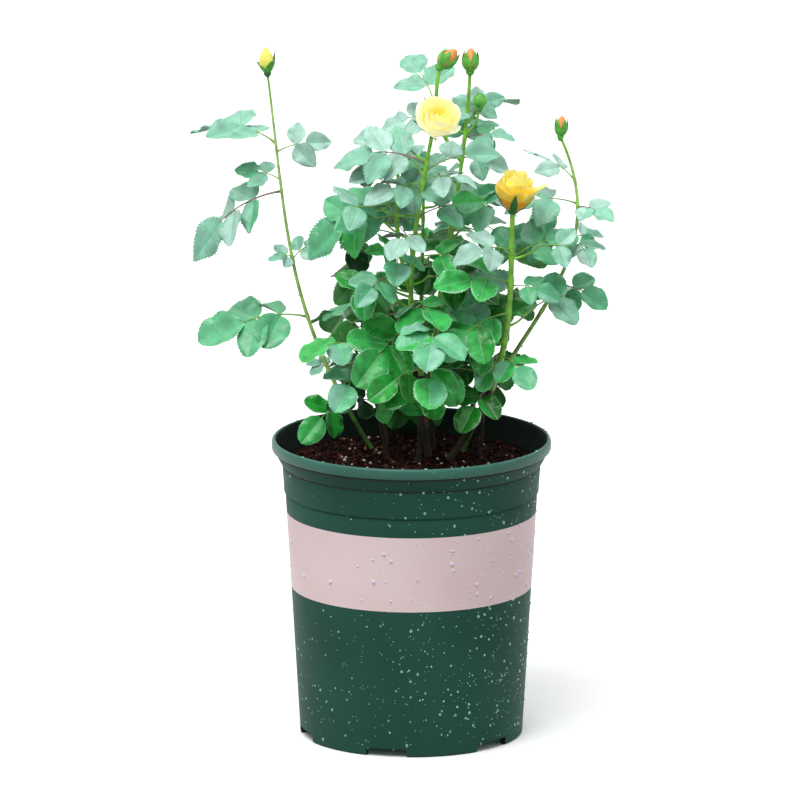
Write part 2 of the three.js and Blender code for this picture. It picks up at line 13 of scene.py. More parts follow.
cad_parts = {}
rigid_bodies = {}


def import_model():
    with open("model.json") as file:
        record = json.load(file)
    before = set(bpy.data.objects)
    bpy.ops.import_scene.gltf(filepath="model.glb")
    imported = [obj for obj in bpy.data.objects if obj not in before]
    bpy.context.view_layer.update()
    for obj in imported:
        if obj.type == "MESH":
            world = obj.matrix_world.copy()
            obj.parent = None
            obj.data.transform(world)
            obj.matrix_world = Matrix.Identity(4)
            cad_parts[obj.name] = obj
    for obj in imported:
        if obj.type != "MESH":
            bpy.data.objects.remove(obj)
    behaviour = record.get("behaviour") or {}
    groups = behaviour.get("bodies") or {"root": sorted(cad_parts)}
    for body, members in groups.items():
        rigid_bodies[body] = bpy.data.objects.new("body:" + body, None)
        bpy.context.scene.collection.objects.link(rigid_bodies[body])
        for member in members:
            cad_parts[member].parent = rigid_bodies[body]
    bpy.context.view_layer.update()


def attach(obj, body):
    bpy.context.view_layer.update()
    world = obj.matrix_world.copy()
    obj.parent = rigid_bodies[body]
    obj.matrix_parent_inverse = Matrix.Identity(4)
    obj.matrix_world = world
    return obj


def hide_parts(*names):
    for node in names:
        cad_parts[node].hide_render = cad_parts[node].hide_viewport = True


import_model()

MM = 0.001


def V3(*place):
    return np.array(place, float)


UP = V3(0, 0, 1)

# ---------------------------------------------------------------- the plant's rule, as its source has it

SEED = 59
TRIES = 12
PULL = 0.42
GAP = 0.3
POT_RIM, POT_TOP, SOIL_TOP = 115.0, 248.0, 230.0
LEAF = dict(reach=47, droop=30, steps=2, smallest5=0.84, terminal=40, upper=36, lower=32, least=0.3, share=0.74,
            spread=62, turn=(50, 34), dip=(20, 8), heights=(300, 470), sunk=0.5)
CLEAR = dict(leaflet=3.2, midrib=2.0, cane=1.5, head=1.5, rim=3.0)
CELL = 24  # spheres further apart than the next cell of this size aren't compared
RIM_BAND = 14  # a leaf this near the pot's edge stays above the rim
NO_ROOM = 99  # counted for a leaf whose own midrib would touch

# One row a cane. foot is where it leaves the mix, tip where its stem ends, lean and arrive its directions there as
# [degrees from upright, compass], radius its radius at both ends, and face the compass point that its leaves turn to.
# A leaf is [place along the cane, compass, degrees above level, size, and for some the degrees that it rolls].
# Compass 0 is +X and 90 is +Y. A twig leaves its cane at the place start.
CANES = [
    dict(name="left", foot=[-33, 36], tip=[-118, 25, 549], lean=[31, 180], arrive=[7, 180], radius=[1.9, 0.9],
         face=270, head=dict(kind="bud", length=22, width=14, open=0.7, tilt=[4, 200]), stalk=0.93,
         leaves=[[0.12, 222, 12, 0.56], [0.21, 165, 34, 0.12], [0.36, 184, 19, 1.12, 24], [0.53, 30, 56, 0.3],
                 [0.54, 190, 30, 0.15], [0.725, 188, -8, 1.16, 22], [0.755, 160, 28, 0.4, 24],
                 [0.825, 26, 24, 0.52, 44], [0.845, 156, 30, 0.92, 14]]),
    dict(name="right", foot=[42, 24], tip=[122, 0, 501], lean=[20, 0], arrive=[24, 180], radius=[2.2, 1.1], face=270,
         head=dict(kind="bud", length=18, width=12, open=0.3, tilt=[4, 0]), stalk=0.93,
         leaves=[[0.25, 205, 26, 0.6], [0.44, 60, 24, 0.6], [0.53, 330, 20, 0.52], [0.69, 285, 24, 0.45],
                 [0.68, 176, 24, 0.72], [0.7, 20, 14, 0.2], [0.8, 318, 20, 0.42], [0.81, 184, 22, 0.72, 22],
                 [0.88, 165, 42, 0.56, 20]]),
    dict(name="front", foot=[14, 8], tip=[17.5, -30, 513], lean=[10, 170], arrive=[11, 350], radius=[2.5, 1.6],
         face=270, head=dict(kind="bloom", width=38, height=33, tilt=[48, 286]), stalk=0.93,
         twigs=[
             dict(name="side", start=0.5, tip=[-11, -5, 473], lean=[18, 185], arrive=[2, 0], radius=[2, 1.2], face=270,
                  leaves=[[0.3, 215, 40, 0.34], [0.36, 265, 2, 0.7], [0.52, 100, 24, 0.9], [0.64, 225, 18, 0.72],
                          [0.77, 188, 2, 1.04], [0.88, 330, 24, 0.6], [1, 214, 28, 0.5]]),
         ],
         leaves=[[0.3, 305, 12, 0.85], [0.32, 100, 18, 0.9], [0.38, 222, 10, 0.9], [0.43, 190, -4, 0.94],
                 [0.47, 300, 16, 0.84], [0.62, 350, 22, 0.76], [0.7, 240, 28, 0.62], [0.76, 12, 24, 0.64],
                 [0.87, 322, 28, 0.56], [0.86, 205, 22, 0.55], [0.895, 5, 38, 0.74], [0.915, 184, 36, 0.95]]),
    dict(name="gold", foot=[31, -6], tip=[82.6, -35, 447], lean=[35, 0], arrive=[3, 300], radius=[2.8, 2.1], face=270,
         head=dict(kind="bloom", width=38, height=34, tilt=[10, 320]), stalk=0.88,
         leaves=[[0.31, 242, 6, 0.68], [0.36, 105, 14, 0.82], [0.44, 305, 30, 0.5], [0.5, 212, 16, 0.66],
                 [0.56, 95, 24, 0.9], [0.63, 200, 12, 0.84], [0.74, 350, 22, 0.42], [0.75, 186, 24, 0.75],
                 [0.84, 10, 34, 0.68], [0.87, 208, 34, 0.64]]),
    dict(name="top", foot=[17, 36], tip=[48, 20, 551], lean=[2, 180], arrive=[3, 0], radius=[2.7, 1.4], face=270,
         head=dict(kind="bud", length=20, width=16, open=0.25, tilt=[2, 0]), stalk=0.95,
         twigs=[
             dict(name="top_side", start=0.79, tip=[23, 16, 556], lean=[38, 185], arrive=[10, 10], radius=[1.7, 1.6],
                  face=270, head=dict(kind="bud", length=20, width=17, open=0.35, tilt=[44, 0]), stalk=0.8,
                  leaves=[[0.5, 24, 34, 0.4], [0.58, 122, 52, 0.82]]),
             dict(name="top_small", start=0.86, tip=[56, 12, 523], lean=[60, 320], arrive=[12, 0], radius=[1.2, 1],
                  face=270, head=dict(kind="bud", length=12, width=13, open=0, tilt=[0, 0]), stalk=0.5),
         ],
         leaves=[[0.91, 15, 40, 0.36], [0.85, 350, 34, 0.44], [0.8, 332, 30, 0.42], [0.69, 318, 18, 0.84],
                 [0.61, 8, 6, 0.75], [0.73, 200, 18, 0.88], [0.82, 95, 36, 0.85], [0.65, 105, 28, 0.95],
                 [0.56, 60, 22, 0.95], [0.5, 112, 20, 0.84], [0.42, 320, 12, 0.95], [0.36, 140, 12, 0.95],
                 [0.28, 40, 8, 0.9]]),
    dict(name="low_left", foot=[-20, 6], tip=[-48, -26, 332], lean=[10, 190], arrive=[30, 215], radius=[2, 1.1],
         face=260,
         leaves=[[0.42, 222, 50, 0.5], [0.54, 320, 34, 0.6], [0.66, 105, 14, 0.8], [0.8, 268, 32, 0.7],
                 [0.9, 335, 24, 0.62], [1, 222, 44, 0.64]]),
    dict(name="low_front", foot=[6, -14], tip=[20, -48, 352], lean=[6, 280], arrive=[22, 285], radius=[2.1, 1.1],
         face=270,
         leaves=[[0.5, 205, 44, 0.5], [0.55, 280, 22, 0.62], [0.7, 185, 30, 0.7], [0.84, 345, 30, 0.66],
                 [1, 262, 36, 0.84]]),
    dict(name="low_right", foot=[56, 12], tip=[70, -4, 318], lean=[8, 350], arrive=[28, 330], radius=[2, 1.1],
         face=280,
         leaves=[[0.62, 75, 24, 0.6], [0.8, 212, 34, 0.7], [1, 262, 30, 0.45]]),
    dict(name="back_left", foot=[-20, 52], tip=[-40, 84, 336], lean=[14, 130], arrive=[20, 120], radius=[2.2, 1.2],
         face=110,
         leaves=[[0.4, 60, 8, 0.85], [0.55, 80, 0, 0.75], [0.7, 110, 12, 0.9], [0.85, 30, 22, 0.85],
                 [1, 118, 16, 0.95]]),
    dict(name="back", foot=[8, 60], tip=[10, 88, 436], lean=[10, 95], arrive=[10, 85], radius=[2.5, 1.3], face=90,
         leaves=[[0.26, 80, 4, 0.9], [0.37, 165, 10, 0.8], [0.47, 30, 12, 0.9], [0.56, 105, 14, 0.95],
                 [0.73, 10, 20, 0.9], [0.82, 75, 22, 0.95], [0.91, 150, 26, 0.9], [1, 60, 26, 0.95]]),
    dict(name="back_right", foot=[44, 46], tip=[72, 72, 394], lean=[16, 40], arrive=[10, 30], radius=[2.4, 1.3],
         face=80,
         leaves=[[0.3, 100, 14, 0.8], [0.43, 80, 16, 0.8], [0.55, 130, 14, 0.9], [0.66, 100, 16, 0.95],
                 [0.77, 75, 28, 0.66], [0.89, 130, 24, 0.9], [1, 60, 24, 0.95]]),
]


def random_from(seed):
    """Even random numbers from 0 to 1, the same ones for the same seed."""
    state = (seed * 7919 + SEED) % 2147483647

    def draw():
        nonlocal state
        state = (state * 48271) % 2147483647
        return state / 2147483647

    for _ in range(3):
        draw()
    return draw


def direction(lean, compass):
    """The unit direction at an angle from upright, towards a compass point, in degrees."""
    flat = math.sin(math.radians(lean))
    return V3(flat * math.cos(math.radians(compass)), flat * math.sin(math.radians(compass)),
              math.cos(math.radians(lean)))


def cross(a, b):
    return V3(a[1] * b[2] - a[2] * b[1], a[2] * b[0] - a[0] * b[2], a[0] * b[1] - a[1] * b[0])


def unit(v):
    return v / math.sqrt(float(v @ v))


class Curve:
    """A cubic Bezier curve from foot to tip."""

    def __init__(self, foot, tip, lean, arrive):
        pull = PULL * float(np.linalg.norm(tip - foot))
        self.p = (foot, foot + direction(*lean) * pull, tip - direction(*arrive) * pull, tip)
        many = np.array([self.at(i / 200) for i in range(201)])
        self.length = float(np.linalg.norm(np.diff(many, axis=0), axis=1).sum())

    def at(self, t):
        a, b, c, d = self.p
        k = 1 - t
        return k * k * k * a + 3 * k * k * t * b + 3 * k * t * t * c + t * t * t * d

    def tangent(self, t):
        return unit(self.at(min(1, t + 1e-4)) - self.at(max(0, t - 1e-4)))


def radius_at(limb, t):
    """A limb's radius at a place from 0 at its foot to 1 at its tip."""
    foot, tip = limb["radius"]
    return foot + (tip - foot) * t


def leaf_plan(root, leaf, face, looseness, random):
    """A compound leaf: its midrib, and a frame and size for each of its leaflets."""
    _, compass, rise, size, *own = leaf
    turn = math.radians(compass + 20 * looseness * (random() - 0.5))
    out = V3(math.cos(turn), math.sin(turn), 0)
    side = V3(-math.sin(turn), math.cos(turn), 0)
    facing = V3(math.cos(math.radians(face)), math.sin(math.radians(face)), 0)
    low, high = LEAF["heights"]
    aloft = min(1, max(0, (root[2] - low) / (high - low)))
    turned, dipped = (LEAF[k][0] + (LEAF[k][1] - LEAF[k][0]) * aloft for k in ("turn", "dip"))
    start = rise - dipped * float(out @ facing) + 14 * looseness * (random() - 0.5)
    twist = math.radians(-(own[0] if own else turned) * float(side @ facing) + 30 * (random() - 0.5))
    droop = LEAF["droop"] * (0.75 + 0.5 * random())
    reach = LEAF["reach"] * size
    growth = LEAF["least"] + (1 - LEAF["least"]) * size
    steps = LEAF["steps"]

    def tangent_at(s):
        angle = math.radians(start - droop * s)
        return out * math.cos(angle) + UP * math.sin(angle)

    midrib = [root]
    for i in range(steps):
        midrib.append(midrib[i] + tangent_at((i + 0.5) / steps) * (reach / steps))

    def point_at(s):
        i = min(int(s * steps), steps - 1)
        return midrib[i] + (midrib[i + 1] - midrib[i]) * (s * steps - i)

    def leaflet(s, swing, length):
        tangent = tangent_at(s)
        level = cross(tangent, side)
        across0 = side * math.cos(twist) + level * math.sin(twist)
        normal0 = level * math.cos(twist) - side * math.sin(twist)
        flat = tangent * math.cos(swing) + across0 * math.sin(swing)
        pitch = math.radians(6 + 22 * (random() - 0.5))
        roll = math.radians(44 * (random() - 0.5))
        along = flat * math.cos(pitch) - normal0 * math.sin(pitch)
        normal1 = normal0 * math.cos(pitch) + flat * math.sin(pitch)
        across1 = cross(normal1, along)
        normal = normal1 * math.cos(roll) + across1 * math.sin(roll)
        across = cross(normal, along)
        long = length * growth * (0.92 + 0.16 * random())
        width = long * LEAF["share"] * (0.92 + 0.16 * random())
        base = point_at(s) - along * LEAF["sunk"]
        cup, curl = 0.12 + 0.42 * random(), 0.04 + 0.18 * random()
        return dict(s=s, base=base, along=along, across=across, normal=normal, length=long, width=width, cup=cup,
                    curl=curl)

    spread = math.radians(LEAF["spread"])
    leaflets = [leaflet(1, 0, LEAF["terminal"])]
    pairs = [(0.64, LEAF["upper"])] if size < LEAF["smallest5"] else [(0.78, LEAF["upper"]), (0.42, LEAF["lower"])]
    for s, length in pairs:
        leaflets += [leaflet(s, spread, length), leaflet(s, -spread, length)]
    spine = np.array([point_at(0.28 + 0.08 * i) for i in range(9)])
    return dict(midrib=midrib, tangent_at=tangent_at, reach=reach, spine=spine, side=side, leaflets=leaflets,
                size=size, growth=growth)


# Places on a leaflet, along and across it, that stand for it when the rule looks for what would touch.
SAMPLE_ROWS = [(0.14, (0,)), (0.32, (-0.3, 0, 0.3)), (0.5, (-0.36, -0.12, 0.12, 0.36)), (0.68, (-0.26, 0, 0.26)),
               (0.84, (-0.1, 0.1)), (0.98, (0,))]
SAMPLE_UV = np.array([(u, v) for u, across in SAMPLE_ROWS for v in across])


def leaflet_samples(l):
    u, v = SAMPLE_UV[:, :1], SAMPLE_UV[:, 1:]
    lift = l["cup"] * np.abs(v) * l["width"] - l["curl"] * u * u * l["length"]
    return l["base"] + u * l["length"] * l["along"] + v * l["width"] * l["across"] + lift * l["normal"]


class Space:
    """What is already in place, as spheres."""

    def __init__(self):
        self.points, self.reach, self.owner, self.names = np.zeros((0, 3)), np.zeros(0), np.zeros(0, int), {}

    def take(self, points, reach, owner):
        points = np.atleast_2d(points)
        number = self.names.setdefault(owner, len(self.names))
        self.points = np.concatenate([self.points, points])
        self.reach = np.concatenate([self.reach, np.full(len(points), float(reach))])
        self.owner = np.concatenate([self.owner, np.full(len(points), number)])

    def take_leaf(self, plan, owner):
        self.take(plan["spine"], CLEAR["midrib"], owner + "_leaf")
        for l in plan["leaflets"]:
            self.take(leaflet_samples(l), CLEAR["leaflet"], owner + "_leaf")

    def touches(self, points, reach, owner):
        over_rim = np.hypot(points[:, 0], points[:, 1]) > POT_RIM - RIM_BAND
        z = points[:, 2]
        if (z < SOIL_TOP + CLEAR["rim"]).any() or (over_rim & (z < POT_TOP + CLEAR["rim"])).any():
            return True
        others = self.owner != self.names.get(owner, -1)
        near = self.points[others]
        gap = np.linalg.norm(points[:, None] - near[None], axis=2) < self.reach[others][None] + reach
        cells = np.abs(np.floor(points / CELL)[:, None] - np.floor(near / CELL)[None]).max(2) <= 1
        return bool((gap & cells).any())


def limb_plans():
    """Where each limb runs and what it carries."""
    limbs, space = [], Space()
    bud_share, bloom_share = 0.5, 0.48  # a head's reach to each side, as a share of its width

    def add(spec, curve, parent):
        limb = dict(spec, curve=curve, parent=parent, plans=[])
        limbs.append(limb)
        steps = math.ceil(curve.length / 4)
        for i in range(steps + 1):
            space.take(curve.at(i / steps), radius_at(limb, i / steps) + CLEAR["cane"], parent or spec["name"])
        head = spec.get("head")
        if head:
            tall, share = (head["length"], bud_share) if head["kind"] == "bud" else (head["height"], bloom_share)
            for along in (0.25, 0.55, 0.85):
                space.take(curve.at(1) + direction(*head["tilt"]) * along * tall,
                           head["width"] * share + CLEAR["head"], "heads")

    for cane in CANES:
        curve = Curve(V3(*cane["foot"], SOIL_TOP + GAP), V3(*cane["tip"]), cane["lean"], cane["arrive"])
        add(cane, curve, None)
        for twig in cane.get("twigs", ()):
            add(twig, Curve(curve.at(twig["start"]), V3(*twig["tip"]), twig["lean"], twig["arrive"]), cane["name"])
    for number, limb in enumerate(limbs):
        owner = limb["parent"] or limb["name"]
        for index, leaf in enumerate(limb.get("leaves", ())):
            root, best = limb["curve"].at(leaf[0]), None
            for attempt in range(TRIES):
                if best and best["lost"] == 0:
                    break
                random = random_from(number * 1000 + index * 50 + attempt)
                plan = leaf_plan(root, leaf, limb["face"], 1 + attempt / 4, random)
                kept = [l for l in plan["leaflets"] if not space.touches(leaflet_samples(l), CLEAR["leaflet"], owner)]
                lost = len(plan["leaflets"]) - len(kept)
                lost += NO_ROOM if space.touches(plan["spine"], CLEAR["midrib"], owner) else 0
                if best is None or lost < best["lost"]:
                    best = dict(plan, leaflets=kept, lost=lost, seed=number * 100 + index)
            if best["lost"] >= NO_ROOM or not best["leaflets"]:
                continue
            limb["plans"].append(best)
            space.take_leaf(best, owner)
    for number, limb in enumerate(limbs):
        sparse = limb["name"] in ("left", "right") or not limb["plans"]
        limb["twiglets"] = [] if sparse else finer_twigs(number, limb, space)
    return limbs


# Where the bush stays open, seen from the front and a little above: across, up the view's plane, radius.
VIEW_RISE, VIEW_DEPTH = 0.974, 0.2267  # what a height and a depth count for up that plane
OPEN = [(-57, 299, 15), (-11, 304, 14), (-19, 397, 13), (-15, 378, 11), (29, 432, 7), (46, 404, 12), (91, 383, 13),
        (87, 363, 13), (98, 338, 17), (70, 328, 9), (56, 486, 9), (117, 318, 19), (112, 296, 14), (-72, 330, 22)]


TWIGLET_SPACING, TWIGLET_TRIES, TWIGLET_RADIUS = 9, 5, 1.2


def finer_twigs(number, limb, space):
    """Short side twigs with a leaf each, in the room that the mass of foliage has left."""
    owner, twiglets = limb["parent"] or limb["name"], []
    own = np.concatenate([leaflet_samples(l) for plan in limb["plans"] for l in plan["leaflets"]])
    low, high = own.min(0), own.max(0)
    first = min(at[0] for at in limb["leaves"])

    def kept(l):
        at = leaflet_samples(l)
        across, up = at[:, 0], VIEW_RISE * at[:, 2] + VIEW_DEPTH * at[:, 1]
        inside = (at > low).all() and (at < high).all()
        seen = any((np.hypot(across - x, up - z) < r).any() for x, z, r in OPEN)
        return inside and not seen and not space.touches(at, CLEAR["leaflet"], owner)

    for k in range(round(limb["curve"].length * (1 - first) / TWIGLET_SPACING)):
        for attempt in range(TWIGLET_TRIES):
            random = random_from(50000 + number * 2000 + k * 20 + attempt)
            root = limb["curve"].at(first + (0.96 - first) * random())
            compass, lean, long = 360 * random(), 48 + 34 * random(), 12 + 26 * random()
            tip = root + direction(lean, compass) * long
            curve = Curve(root, tip, (lean + 12, compass), (lean - 18, compass + 30 * (random() - 0.5)))
            points = np.array([curve.at(t) for t in (0.3, 0.5, 0.7, 0.85, 1)])
            if space.touches(points, TWIGLET_RADIUS, owner):
                continue
            leaf = (1, compass + 50 * (random() - 0.5), 6 + 26 * random(), 0.5 + 0.3 * random())
            plan = leaf_plan(tip, leaf, limb["face"], 1, random)
            leaflets = [l for l in plan["leaflets"] if kept(l)]
            if len(leaflets) < 2 or space.touches(plan["spine"], CLEAR["midrib"], owner):
                continue
            plan = dict(plan, leaflets=leaflets, seed=number * 100 + 60 + k)
            twiglets.append(dict(curve=curve, plan=plan))
            space.take(points, TWIGLET_RADIUS, owner)
            space.take_leaf(plan, owner)
            break
    return twiglets


# ---------------------------------------------------------------- meshes


class Mesh:
    """Points and faces of one piece, each face with the number of its material."""

    def __init__(self):
        self.points, self.faces, self.tints, self.count = [], [], [], 0

    def add(self, points, faces, tints, caps=None, cap_tint=0):
        """Takes points, the faces between them, and faces of another corner count as caps."""
        for some, tint in ((faces, tints), (caps, cap_tint)):
            if some is not None:
                self.faces.append(np.asarray(some, int) + self.count)
                self.tints.append(np.full(len(some), tint) if np.isscalar(tint) else np.asarray(tint))
        self.points.append(np.asarray(points, float).reshape(-1, 3))
        self.count += len(self.points[-1])

    def add_rings(self, grid, ends, tints, cap_tint):
        """Takes closed rings of points, rows by angles, and closes them on a point at each end."""
        rows, around = grid.shape[:2]
        n = np.arange(rows * around).reshape(rows, around)
        m = np.roll(n, -1, axis=1)
        faces = np.stack([n[:-1], m[:-1], m[1:], n[1:]], -1).reshape(-1, 4)
        first, last = np.full(around, rows * around), np.full(around, rows * around + 1)
        caps = np.concatenate([np.stack([first, m[0], n[0]], -1), np.stack([last, n[-1], m[-1]], -1)])
        self.add(np.concatenate([grid.reshape(-1, 3), ends]), faces, tints, caps, cap_tint)

    def make(self, name, materials, slot, nodes=(), sharp=50):
        """Makes the piece in place of nodes; slot is not used. Edges over sharp degrees stay sharp."""
        points = np.concatenate(self.points) * MM
        sizes = np.concatenate([np.full(len(f), f.shape[1]) for f in self.faces])
        corners = np.concatenate([f.ravel() for f in self.faces])
        mesh = bpy.data.meshes.new(name)
        mesh.vertices.add(len(points))
        mesh.vertices.foreach_set("co", points.ravel())
        mesh.loops.add(len(corners))
        mesh.loops.foreach_set("vertex_index", corners.astype(np.int32))
        mesh.polygons.add(len(sizes))
        mesh.polygons.foreach_set("loop_start", np.concatenate([[0], np.cumsum(sizes)[:-1]]).astype(np.int32))
        mesh.polygons.foreach_set("material_index", np.concatenate(self.tints).astype(np.int32))
        mesh.polygons.foreach_set("use_smooth", np.ones(len(sizes), bool))
        mesh.update(calc_edges=True)
        for material in materials:
            mesh.materials.append(material)
        mesh.set_sharp_from_angle(angle=math.radians(sharp))
        piece = bpy.data.objects.new(name, mesh)
        bpy.context.collection.objects.link(piece)
        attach(piece, "root")
        if nodes:
            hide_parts(*nodes)
        return piece


def sheet(mesh, grid, thick, top, under):
    """A closed sheet from a grid of points, rows by columns, that faces along rows x columns. Its rim is shared."""
    rows, cols = grid.shape[:2]
    du = np.gradient(grid, axis=0)
    dv = np.gradient(grid, axis=1)
    normal = np.cross(du, dv)
    normal /= np.linalg.norm(normal, axis=2, keepdims=True) + 1e-9
    upper = np.arange(rows * cols).reshape(rows, cols)
    lower = upper.copy()
    lower[1:-1, 1:-1] = rows * cols + np.arange((rows - 2) * (cols - 2)).reshape(rows - 2, cols - 2)
    below = (grid - normal * thick)[1:-1, 1:-1]
    quads = [np.stack([n[:-1, :-1], n[1:, :-1], n[1:, 1:], n[:-1, 1:]], -1).reshape(-1, 4) for n in (upper, lower)]
    faces = np.concatenate([quads[0], quads[1][:, ::-1]])
    cells = (rows - 1, cols - 1)
    tints = np.concatenate([np.broadcast_to(top, cells).ravel(), np.broadcast_to(under, cells).ravel()])
    mesh.add(np.concatenate([grid.reshape(-1, 3), below.reshape(-1, 3)]), faces, tints)


def tube(mesh, points, radii, sides, tint, relief=None):
    """A closed tube with a radius at each point. relief(ring, angles) scales the radius round a ring."""
    points = np.asarray(points, float)
    tangents = np.gradient(points, axis=0)
    tangents /= np.linalg.norm(tangents, axis=1, keepdims=True) + 1e-12
    across = V3(1, 0, 0) if abs(tangents[0][0]) < 0.9 else V3(0, 1, 0)
    side = []
    for t in tangents:
        across = unit(across - t * float(across @ t))
        side.append(across)
    side = np.array(side)
    over = np.cross(tangents, side)
    turn = np.linspace(0, 2 * math.pi, sides, endpoint=False)
    scale = np.ones((len(points), sides)) if relief is None else relief(np.arange(len(points))[:, None], turn[None])
    r = np.asarray(radii, float)[:, None] * scale
    grid = points[:, None] + (r * np.cos(turn))[..., None] * side[:, None]
    grid = grid + (r * np.sin(turn))[..., None] * over[:, None]
    mesh.add_rings(grid, points[[0, -1]], tint, tint)


def lathe(mesh, profile, segments, tint_of, radius_of=None):
    """A solid of revolution from a profile of (radius, height) that starts and ends on the axis."""
    profile = np.asarray(profile, float)
    turn = np.linspace(0, 2 * math.pi, segments, endpoint=False)
    inner = profile[1:-1]
    r, z = np.repeat(inner[:, :1], segments, 1), np.repeat(inner[:, 1:], segments, 1)
    if radius_of is not None:
        r, z = radius_of(r, z, turn[None])
    grid = np.stack([r * np.cos(turn), r * np.sin(turn), z], -1)
    tints = np.repeat([tint_of(low, high) for low, high in zip(inner, inner[1:])], segments)
    mesh.add_rings(grid, [(0, 0, profile[0][1]), (0, 0, profile[-1][1])], tints, tints[0])


def turned_to(points, tilt, foot):
    """Points turned from upright to a tilt, by the shortest turn, and set on a foot."""
    aim = direction(*tilt)
    axis = cross(UP, aim)
    c = float(aim[2])
    k = np.array([[0, -axis[2], axis[1]], [axis[2], 0, -axis[0]], [-axis[1], axis[0], 0]])
    rotation = np.eye(3) + k + k @ k / (1 + c)
    return np.asarray(points) @ rotation.T + foot


# ---------------------------------------------------------------- materials


WHITE = (255, 255, 255)


def mixed(rgb, other, share):
    return tuple(c + (o - c) * share for c, o in zip(rgb, other))


def linear(rgb):
    """A colour from 0 to 255 as the light that it sends back."""
    return tuple(((c / 255 + 0.055) / 1.055) ** 2.4 if c > 10 else c / 255 / 12.92 for c in rgb) + (1.0,)


def material(name, rgb, rough=0.5, specular=0.5, mottle=0.0, mottle_scale=60, bump=0.0, bump_scale=400, coat=0.0,
             sheen=0.0, rough_swing=0.0, second=None, soft=0.0, painted_glow=0.0):
    """A plain colour, mottled or mixed with a second one, with fine bumps and a slight swing in its roughness."""
    made = bpy.data.materials.new(name)
    made.use_nodes = True
    nodes, links = made.node_tree.nodes, made.node_tree.links
    shader = nodes["Principled BSDF"]
    inputs = {"Base Color": linear(rgb), "Roughness": rough, "Specular IOR Level": specular, "Coat Weight": coat,
              "Coat Roughness": 0.15}
    if sheen:
        inputs.update({"Sheen Weight": sheen, "Sheen Roughness": 0.4})
    if soft:
        inputs.update({"Subsurface Weight": soft, "Subsurface Radius": (1.0, 0.8, 0.5), "Subsurface Scale": 0.004})
    # Painted light: the material gives off its own colour as emission, though the part is no lamp.
    if painted_glow:
        inputs.update({"Emission Color": linear(rgb), "Emission Strength": painted_glow})
    for socket, value in inputs.items():
        shader.inputs[socket].default_value = value
    place = nodes.new("ShaderNodeTexCoord")

    def noise_at(scale, detail=3.0):
        tex = nodes.new("ShaderNodeTexNoise")
        tex.inputs["Scale"].default_value = scale
        tex.inputs["Detail"].default_value = detail
        links.new(place.outputs["Object"], tex.inputs["Vector"])
        return tex

    if mottle or second:
        tex, ramp = noise_at(mottle_scale), nodes.new("ShaderNodeValToRGB")
        dark = second or tuple(c * (1 - mottle) for c in rgb)
        light = rgb if second else tuple(min(255, c * (1 + mottle)) for c in rgb)
        for stop, place_on_ramp, colour in zip(ramp.color_ramp.elements, (0.35, 0.65), (dark, light)):
            stop.position, stop.color = place_on_ramp, linear(colour)
        links.new(tex.outputs["Fac"], ramp.inputs["Fac"])
        links.new(ramp.outputs["Color"], shader.inputs["Base Color"])
    if rough_swing:
        tex, spread = noise_at(mottle_scale * 2.3), nodes.new("ShaderNodeMapRange")
        spread.inputs["To Min"].default_value = rough - rough_swing
        spread.inputs["To Max"].default_value = rough + rough_swing
        links.new(tex.outputs["Fac"], spread.inputs["Value"])
        links.new(spread.outputs["Result"], shader.inputs["Roughness"])
    if bump:
        tex, push = noise_at(bump_scale, 4.0), nodes.new("ShaderNodeBump")
        push.inputs["Strength"].default_value = bump
        push.inputs["Distance"].default_value = 0.001
        links.new(tex.outputs["Fac"], push.inputs["Height"])
        links.new(push.outputs["Normal"], shader.inputs["Normal"])
    return made


# The pale mint tints are partly painted sheen, sky reflected from leaves seen at a low angle, and the deepest green is
# partly painted shade; the rest is the leaves' own spread of colour.
LEAF_TINTS = [  # name, colour, coat: from the palest to the deepest, and the last four are glossy
    ("leaf_mint_pale", (164, 204, 189), 0.08), ("leaf_mint", (132, 192, 165), 0.08),
    ("leaf_mint_deep", (98, 184, 134), 0.14), ("leaf_soft_green", (62, 180, 86), 0.22),
    ("leaf_green", (32, 156, 50), 0.3), ("leaf_fresh_green", (22, 116, 22), 0.3),
    ("leaf_deep_green", (8, 64, 18), 0.22),
]
MINT_RIM, MINT_VEIN = (84, 190, 112), (70, 168, 96)
leaf_materials = []  # face, rim and vein of each tint, and then the undersides and the stalks
for tint, rgb, coat in LEAF_TINTS:
    glossy = coat > 0.2
    # On the glossy tints the rim is mixed toward white: a painted highlight along the leaflet's edge. The mint tints
    # get a greener rim instead.
    rim = mixed(rgb, WHITE, 0.36) if glossy else mixed(rgb, MINT_RIM, 0.32)
    vein = mixed(rgb, WHITE, 0.2) if glossy else mixed(rgb, MINT_VEIN, 0.4)
    leaf_materials += [
        material(tint, rgb, rough=0.36, specular=0.32 if glossy else 0.42, mottle=0.13 if glossy else 0.07,
                 mottle_scale=110, bump=0.25, bump_scale=700, coat=coat, rough_swing=0.1),
        material(tint + "_rim", rim, rough=0.34, mottle=0.04, bump=0.1, coat=coat),
        material(tint + "_vein", vein, rough=0.4, mottle=0.04, bump=0.1, coat=coat),
    ]
UNDERSIDE = len(leaf_materials)
for tint, rgb in (("pale", (172, 214, 186)), ("plum", (156, 158, 152)), ("green", (84, 164, 84))):
    leaf_materials.append(material("leaf_underside_" + tint, rgb, rough=0.6, specular=0.3, mottle=0.1, bump=0.25,
                                   bump_scale=1100))
STALK = len(leaf_materials)
for tint, rgb in (("leaf_stalk", (132, 176, 84)), ("leaf_stalk_plum", (150, 124, 112))):
    leaf_materials.append(material(tint, rgb, rough=0.45, mottle=0.12, mottle_scale=200, bump=0.2))
STEM, PRICKLE = len(leaf_materials), len(leaf_materials) + 1

